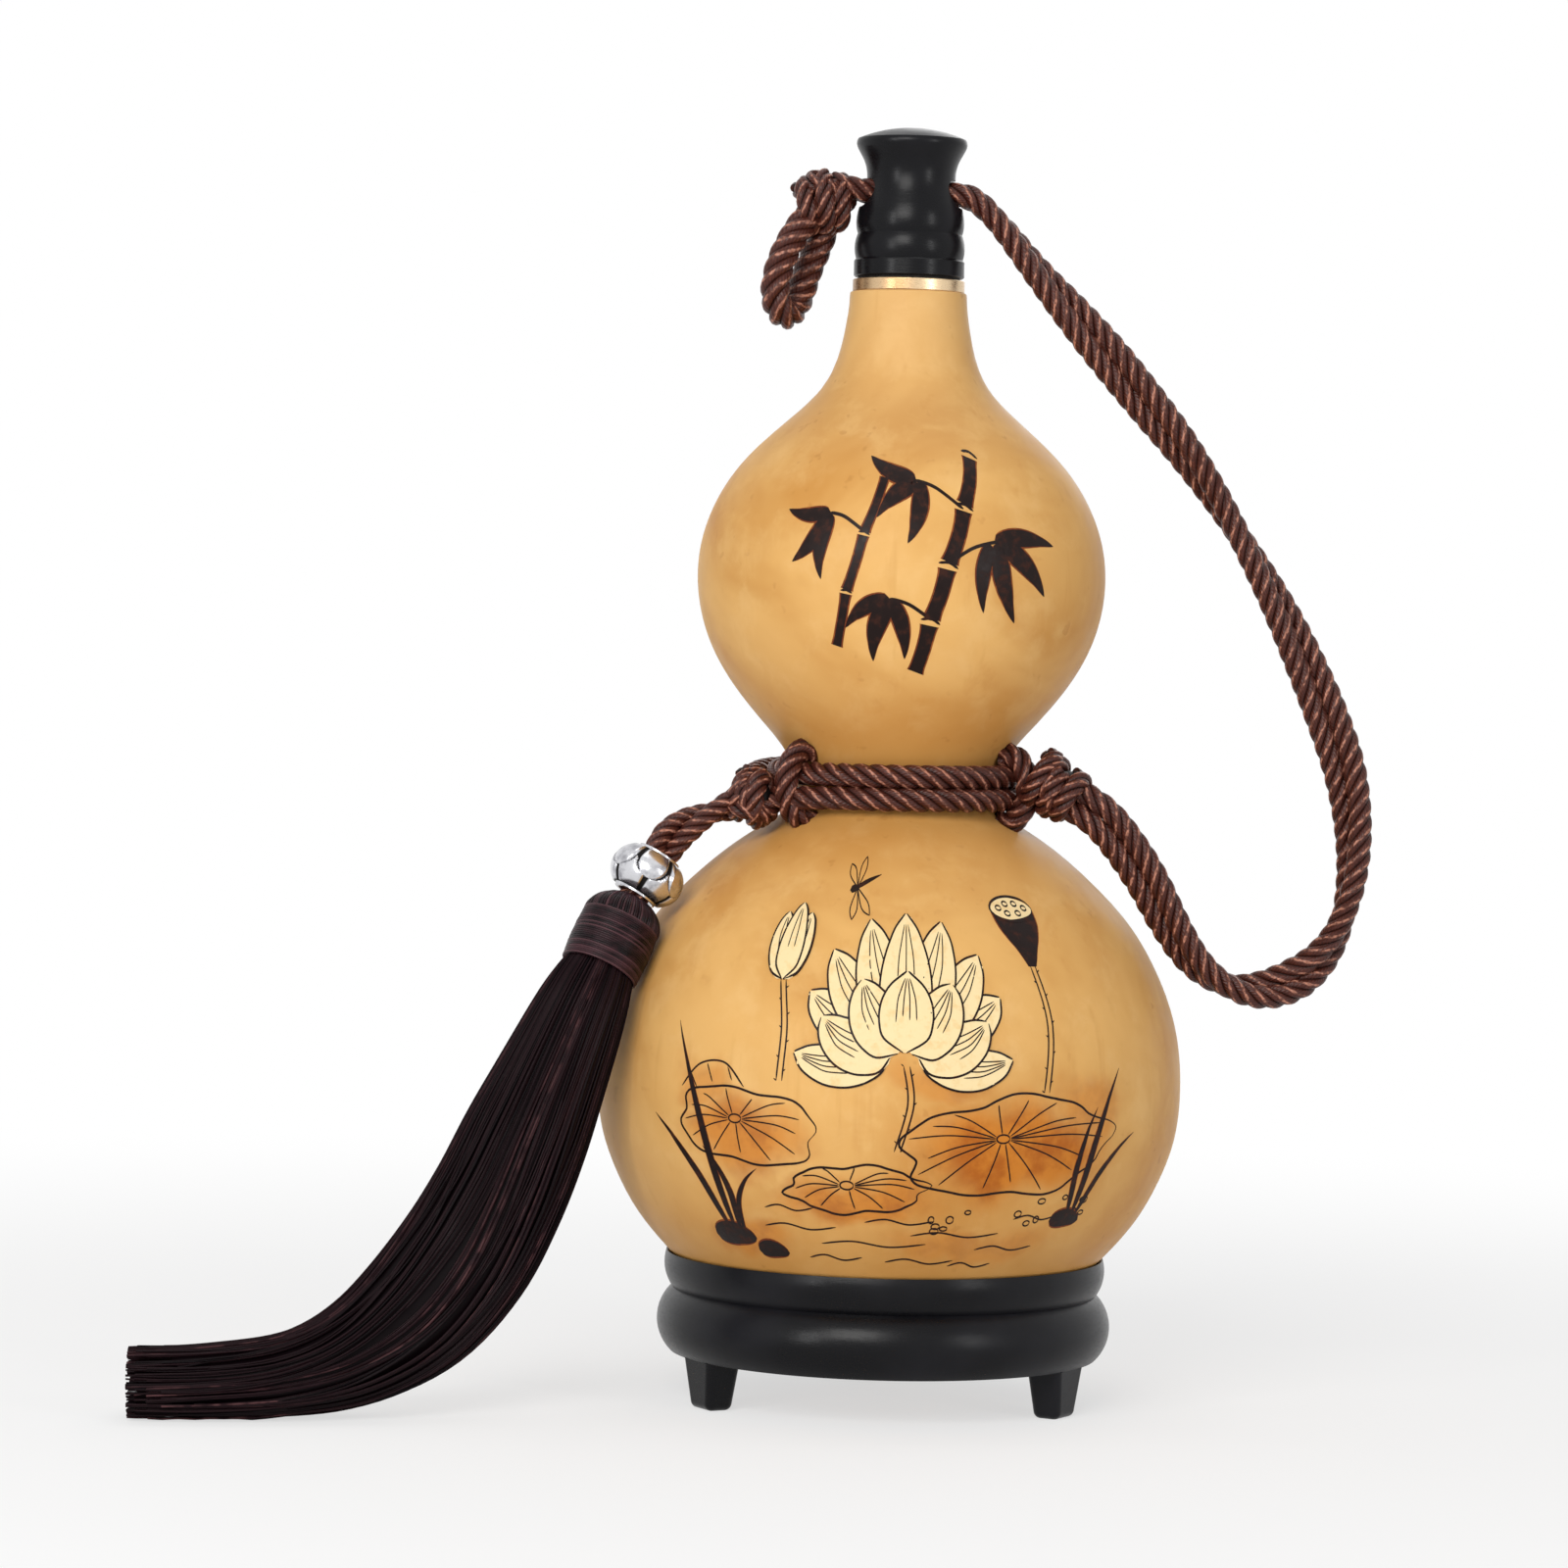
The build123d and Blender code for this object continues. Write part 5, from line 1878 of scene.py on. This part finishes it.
@dataclass
class Bamboo:
    """Two canes of bamboo burnt boldly on the upper bulb; places in millimetres round and up it."""
    pen: Painter
    cane: tuple[Flat, ...] = ((3.0, 160.5), (5.8, 172.0), (9.2, 184.0), (13.4, 196.5), (18.0, 208.0))
    slim: tuple[Flat, ...] = ((-15.5, 166.0), (-12.6, 178.0), (-9.2, 190.5), (-5.4, 203.0))
    cane_width: float = 3.6
    slim_width: float = 2.1
    twigs: tuple[tuple[Flat, ...], ...] = (
        ((9.4, 184.6), (15.0, 188.0), (21.5, 189.6)), ((13.2, 196.2), (7.0, 200.6), (1.8, 202.2)),
        ((6.0, 172.4), (1.0, 175.6), (-3.2, 176.8)), ((-9.0, 190.8), (-14.0, 194.0), (-17.6, 194.8)))
    leaves: tuple[tuple[Flat, Flat, float], ...] = (
        ((21.0, 189.6), (33.0, 178.0), 4.4), ((20.6, 189.2), (25.6, 172.2), 4.2),
        ((20.0, 189.8), (36.0, 188.8), 3.8), ((18.6, 189.0), (17.6, 174.2), 3.4),
        ((2.2, 202.2), (-10.0, 207.2), 3.6), ((2.4, 201.8), (-6.6, 194.0), 4.0),
        ((3.4, 202.0), (0.4, 188.6), 3.8), ((-3.0, 176.8), (-7.0, 163.4), 4.2),
        ((-2.8, 176.6), (0.4, 164.0), 3.4), ((-3.4, 177.0), (-13.0, 170.4), 3.4),
        ((-17.4, 194.8), (-25.4, 184.2), 3.8), ((-17.2, 194.6), (-18.4, 180.6), 3.4),
        ((-17.6, 195.0), (-28.4, 195.4), 3.0))

    def draw_cane(self, knots: tuple[Flat, ...], width: float) -> None:
        """Burns a cane joint by joint.

        Args:
            knots: The places of its knots, from the foot up.
            width: Its width.
        """
        for lower, upper in zip(knots, knots[1:]):
            start, end = Vector(lower), Vector(upper)
            gap = (end - start).normalized() * width * 0.22
            middle = (start + end) / 2 + Vector((0.25, 0.0))
            self.pen.burn([start + gap, middle, end - gap], width, 0.8, Taper.STEM)
            side = Vector((gap.y, -gap.x)).normalized() * width * 0.62
            self.pen.line(end - side, end + gap * 0.9, end + side, width=0.6, lift=0.07)

    def draw(self) -> None:
        """Burns the whole picture."""
        self.draw_cane(self.cane, self.cane_width)
        self.draw_cane(self.slim, self.slim_width)
        for twig in self.twigs:
            self.pen.line(*twig, width=0.75, lift=0.055)
        for index, (root, tip, width) in enumerate(self.leaves):
            self.pen.leaf(root, tip, width, 1.1 if index % 2 else -0.9)


@dataclass
class LotusPond:
    """A lotus pond drawn in fine burnt lines on the lower bulb; places in millimetres round and up it.

    A petal is its lean in degrees, length, width and bend. A stone, a ripple and a pad are given by their
    middle and their half sizes, and a reed by its root, tip and width.
    """
    pen: Painter
    bloom: Flat = (2.0, 84.0)
    back_petals: tuple[tuple[float, ...], ...] = (
        (-62, 21, 10.5, -1.5), (64, 21, 10.5, 1.5), (-40, 24, 11.0, -1.2), (42, 24, 11.0, 1.2),
        (-18, 26, 11.5, -0.6), (20, 26, 11.5, 0.6), (1, 26, 12.0, 0.0))
    front_petals: tuple[tuple[float, ...], ...] = (
        (-92, 20, 9.5, -2.6), (94, 20, 9.5, 2.6), (-66, 17, 11.0, -2.4), (68, 17, 11.0, 2.4),
        (-30, 17, 11.5, -1.2), (34, 17, 11.5, 1.2), (2, 16.5, 12.0, 0.0))
    bud_base: Flat = (-27.0, 96.0)
    bud_petals: tuple[tuple[float, ...], ...] = (
        (-14, 14, 6.0, -0.8), (14, 14, 6.0, 0.8), (0, 15.5, 6.4, 0.3))
    pod_body: tuple[Flat, ...] = ((34.6, 99.6), (34.6, 103.5), (34.5, 107.5), (34.4, 111.0))
    pod_top: Flat = (34.4, 111.3)
    seeds: tuple[Flat, ...] = ((-4.2, 0.2), (-1.5, 1.0), (1.6, 1.0), (4.3, 0.1), (-1.9, -0.9), (1.6, -0.9))
    stalks: tuple[tuple[Flat, ...], ...] = (
        ((2.6, 79.0), (3.6, 71.0), (1.0, 61.0)), ((-26.8, 96.0), (-24.6, 86.0), (-24.8, 75.0)),
        ((34.6, 100.0), (36.0, 88.0), (34.0, 73.5)))
    stones: tuple[tuple[Flat, float, float], ...] = (
        ((-41.0, 40.5), 6.2, 2.6), ((-31.0, 37.6), 4.4, 1.9), ((45.0, 45.5), 4.6, 2.0))
    reeds: tuple[tuple[Flat, Flat, float], ...] = (
        ((-40.0, 42.0), (-52.5, 86.0), 1.7), ((-38.6, 42.0), (-44.0, 60.0), 1.5),
        ((-41.5, 42.0), (-58.0, 66.0), 1.6), ((-37.5, 41.0), (-30.5, 56.0), 1.2),
        ((46.5, 47.0), (55.0, 78.0), 1.6), ((45.0, 47.0), (48.0, 70.0), 1.4),
        ((47.6, 46.6), (61.0, 64.0), 1.3))
    ripples: tuple[Point, ...] = (
        (-22, 43.5, 9), (-4, 40.2, 13), (16, 42.6, 11), (30, 39.4, 8), (-14, 36.8, 7), (8, 36.4, 9),
        (36, 46.2, 6), (22, 35.6, 6), (-24, 47.6, 6), (2, 45.4, 8))
    pebbles: int = 26
    fly: Flat = (-12.4, 115.2)
    wing_tips: tuple[Flat, ...] = ((-16.4, 120.0), (-11.2, 121.6), (-12.4, 108.6), (-7.6, 109.6))

    def stalk(self, places: tuple[Flat, ...], width: float = 1.3) -> None:
        """Draws a stalk as two lines with short bristles.

        Args:
            places: Places along its middle.
            width: The distance between its lines.
        """
        for side in (-0.5, 0.5):
            self.pen.line(*[(x + side * width, z) for x, z in places], width=0.36)
        for index, (x, z) in enumerate(curved(list(places), 3.0)):
            side = 0.5 * width if index % 2 else -0.5 * width
            self.pen.line((x + side, z), (x + side * 1.9, z + 0.5), width=0.3)

    def flower(self) -> None:
        """Paints the open flower in the middle and the closed bud at the left."""
        x, z = self.bloom
        for lean, length, width, bend in self.back_petals:
            self.pen.petal((x + 0.05 * lean, z), lean, length, width, bend, 3)
        for lean, length, width, bend in self.front_petals:
            self.pen.petal((x + 0.04 * lean, z - 2.2), lean, length, width, bend, 4)
        for lean, length, width, bend in self.bud_petals:
            self.pen.petal(self.bud_base, lean, length, width, bend, 2)

    def pod(self) -> None:
        """Burns the seed pod at the right, black with pale seed rings."""
        x, z = self.pod_top
        self.pen.burn(list(self.pod_body), 13.4, 0.8, Taper.CONE, 0.05)
        self.pen.mark(Ink.CREAM, [(27.6, 111.0), (34.4, 111.4), (41.2, 111.2)], 4.4, Taper.PETAL, 0.08)
        self.pen.ring(self.pod_top, 7.0, 2.5, 0.5, lift=0.11)
        for across, up in self.seeds:
            self.pen.ring((x + across, z + up), 0.85, 0.5, 0.34, lift=0.12)

    def leaves(self) -> None:
        """Draws the water leaves."""
        self.pen.pad((27.0, 62.0), 25.0, 10.5, 5, 0.9, 17)
        self.pen.pad((-33.0, 65.0), 17.0, 8.0, 4, -1.4, 13)
        self.pen.pad((-8.0, 52.5), 15.5, 5.2, 6, 0.4, 12)
        self.pen.line((-33.0, 73.2), (-38.0, 78.0), (-44.6, 77.4), (-49.4, 72.4))
        for root, tip in (((-36.0, 74.4), (-37.2, 77.2)), ((-41.0, 73.8), (-42.6, 77.6)),
                          ((-45.2, 72.4), (-47.0, 75.4))):
            self.pen.line(root, tip, width=0.3)

    def shore(self) -> None:
        """Draws the stones, the reeds, the ripples and the pebbles."""
        for (x, z), across, up in self.stones:
            places = [(x - across, z), (x, z + 0.6), (x + across, z - 0.2)]
            self.pen.burn(places, 2 * up, 0.8, Taper.PETAL)
        for root, tip, width in self.reeds:
            self.pen.leaf(root, tip, width, 2.4 if tip[0] < root[0] else -2.4, 0.35)
        for x, z, reach in self.ripples:
            self.pen.line((x - reach, z), (x - reach * 0.4, z + 0.8), (x + reach * 0.3, z - 0.3),
                         (x + reach, z + 0.5), width=0.36)
        chance = self.pen.chance
        for _ in range(self.pebbles):
            x, z = chance.uniform(-12, 50), chance.uniform(43.5, 51.0)
            if abs(x + 8) > 17:
                self.pen.ring((x, z), chance.uniform(0.6, 1.1), chance.uniform(0.45, 0.8), 0.32)

    def dragonfly(self) -> None:
        """Draws the dragonfly above the bud."""
        self.pen.mark(Ink.BLACK, [(-13.0, 115.0), (-9.4, 116.6), (-5.2, 118.0)], 1.0, Taper.LEAF)
        self.pen.mark(Ink.BLACK, [(-14.6, 114.6), (-13.4, 115.0), (-12.2, 115.3)], 1.7, Taper.PETAL)
        for tip in self.wing_tips:
            way = Vector(tip) - Vector(self.fly)
            side = Vector((way.y, -way.x)).normalized()
            for hand in (-1, 1):
                bow = Vector(self.fly) + way * 0.65 + side * hand
                self.pen.line(self.fly, bow, tip, width=0.3)

    def draw(self) -> None:
        """Draws the whole picture."""
        for places in self.stalks:
            self.stalk(places)
        for draw in (self.leaves, self.flower, self.pod, self.shore, self.dragonfly):
            draw()


@dataclass
class Gourd:
    """The gourd's skin and the two pictures burnt into it."""
    upper_girth: float = 44.8
    lower_girth: float = 64.2
    washes: tuple[Wash, ...] = (
        Wash(27.0, 62.0, 26.0, 12.0, 0.92), Wash(46.0, 70.0, 13.0, 9.0, 0.55),
        Wash(-33.0, 64.0, 18.0, 9.0, 0.80), Wash(-8.0, 51.0, 20.0, 6.5, 0.75),
        Wash(-44.0, 74.0, 9.0, 6.0, 0.50), Wash(10.0, 76.0, 13.0, 5.0, 0.45),
        Wash(-36.0, 42.0, 14.0, 5.0, 0.55), Wash(20.0, 41.0, 24.0, 4.5, 0.42))

    def build(self) -> None:
        """Dresses the shell and burns the pictures."""
        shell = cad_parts["gourd_shell"]
        dress_nodes(GourdSkin("gourd_skin", self.washes, self.lower_girth).make(), "gourd_shell")
        skin = BVHTree.FromPolygons([vertex.co.copy() for vertex in shell.data.vertices],
                                    [tuple(face.vertices) for face in shell.data.polygons])
        finishes = {
            Ink.BLACK: BurntLine("burnt_black", srgb(26, 14, 12), srgb(58, 28, 18), 0.42).make(),
            Ink.SCORCH: BurntLine("scorched_edge", srgb(112, 52, 26), srgb(160, 92, 44), 0.55).make(),
            Ink.CREAM: BurntLine("cream_fill", srgb(238, 214, 164), srgb(230, 198, 140), 0.52).make()}
        for name, picture, girth in (("bamboo", Bamboo, self.upper_girth),
                                     ("pond", LotusPond, self.lower_girth)):
            painter = Painter(skin, girth)
            picture(painter).draw()
            painter.keep(name, finishes)


# studio

@dataclass(frozen=True)
class Lamp:
    """A soft upright lamp aimed at the gourd's middle; places and sizes in metres, power in watts."""
    name: str
    place: Point
    width: float
    height: float
    power: float
    tint: tuple[float, float, float] = (1.0, 1.0, 1.0)


@dataclass
class Studio:
    """The pale floor, the white surroundings, the lamps and the camera."""
    lamps: tuple[Lamp, ...] = (
        Lamp("key_lamp", (-0.32, -1.15, 0.72), 0.60, 0.60, 9.0, (1.0, 0.985, 0.96)),
        Lamp("left_strip", (-0.78, -0.98, 0.42), 0.13, 0.60, 3.0),
        Lamp("right_strip", (0.90, -0.90, 0.38), 0.13, 0.60, 2.6),
        Lamp("top_lamp", (0.05, 0.10, 1.10), 0.60, 0.60, 1.8),
        Lamp("rear_lamp", (0.30, 1.05, 0.60), 0.60, 0.60, 1.2))
    target: Point = (-0.010, 0.0, 0.135)
    camera_place: Point = (-0.0214, -1.2, 0.1728)
    camera_target: Point = (-0.02474, 0.0, 0.1355)
    lens: float = 125.0
    sensor: float = 36.0
    roll: float = 1.4
    soft_light: float = 0.33
    floor_colour: Colour = (0.86, 0.86, 0.86, 1.0)
    floor_fade: Span = (0.10, 0.62)
    floor_shadow: float = 0.62

    def aim(self, holder: Piece, target: Point) -> None:
        """Turns a lamp or camera to a place."""
        way = Vector(target) - holder.location
        holder.rotation_euler = way.to_track_quat("-Z", "Y").to_euler()

    def light(self) -> None:
        """Hangs the lamps."""
        for lamp in self.lamps:
            light = bpy.data.lights.new(lamp.name, "AREA")
            light.shape = "RECTANGLE"
            light.size, light.size_y = lamp.width, lamp.height
            light.energy, light.color = lamp.power, lamp.tint
            holder = put_in_scene(lamp.name, light)
            holder.location = lamp.place
            self.aim(holder, self.target)

    def surround(self) -> None:
        """Fills the world with white as seen, and with a softer light as it falls on things."""
        world = bpy.data.worlds.new("white_studio")
        bpy.context.scene.world = world
        world.use_nodes = True
        b = NodeBench(world.node_tree)
        soft = b.add("ShaderNodeBackground", {"Color": WHITE, "Strength": self.soft_light}).outputs[0]
        white = b.add("ShaderNodeBackground", {"Color": WHITE, "Strength": 1.0}).outputs[0]
        mixed = b.add("ShaderNodeMixShader", {0: b.seen(), 1: soft, 2: white}).outputs[0]
        b.add("ShaderNodeOutputWorld", {"Surface": mixed})

    def lay_floor(self) -> None:
        """Lays the pale floor, which keeps the shadow near the object and fades to white further out."""
        f = Finish("pale_floor")
        f.dress(Base_Color=self.floor_colour, Roughness=0.9, Specular_IOR_Level=0.1)
        seen = f.seen()
        fade = f.level(f.way("LENGTH", f.place), *self.floor_fade, self.floor_shadow, 1.0)
        glow = f.add("ShaderNodeEmission", {"Color": WHITE, "Strength": 1.0}).outputs[0]
        wires = {0: f.sum("MULTIPLY", seen, fade), 1: f.shader.outputs[0], 2: glow}
        mixed = f.add("ShaderNodeMixShader", wires).outputs[0]
        f.add("ShaderNodeOutputMaterial", {"Surface": mixed}).is_active_output = True
        disc = bmesh.new()
        bmesh.ops.create_circle(disc, cap_ends=True, segments=96, radius=3.0)
        mesh_piece("studio_floor", disc, f.material)

    def place_camera(self) -> None:
        """Sets the camera to the photograph's view."""
        lens = bpy.data.cameras.new("photo_camera")
        lens.lens, lens.sensor_width = self.lens, self.sensor
        lens.clip_start, lens.clip_end = 0.05, 20.0
        holder = put_in_scene("photo_camera", lens)
        holder.location = self.camera_place
        self.aim(holder, self.camera_target)
        turned = holder.rotation_euler.to_matrix() @ Matrix.Rotation(math.radians(self.roll), 3, "Z")
        holder.rotation_euler = turned.to_euler()
        bpy.context.scene.camera = holder

    def build(self) -> None:
        """Sets the whole studio up."""
        self.surround()
        self.light()
        self.lay_floor()
        self.place_camera()
        bpy.context.scene.view_settings.view_transform = "Standard"


def main() -> None:
    """Builds the bottle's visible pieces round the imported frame."""
    logging.basicConfig(level=logging.INFO, format="%(name)s: %(message)s")
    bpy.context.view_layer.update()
    Studio().build()
    lacquer = BlackLacquer().make()
    shop = RopeShop(TwistedThread().make())
    for part in (Strap(shop), FingerLoop(shop), Winding(shop), *knots(shop), Tassel(shop)):
        part.build()
    Stand().build(lacquer)
    Mouth().build(lacquer)
    Gourd().build()
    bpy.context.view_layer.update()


if __name__ == "__main__":
    main()
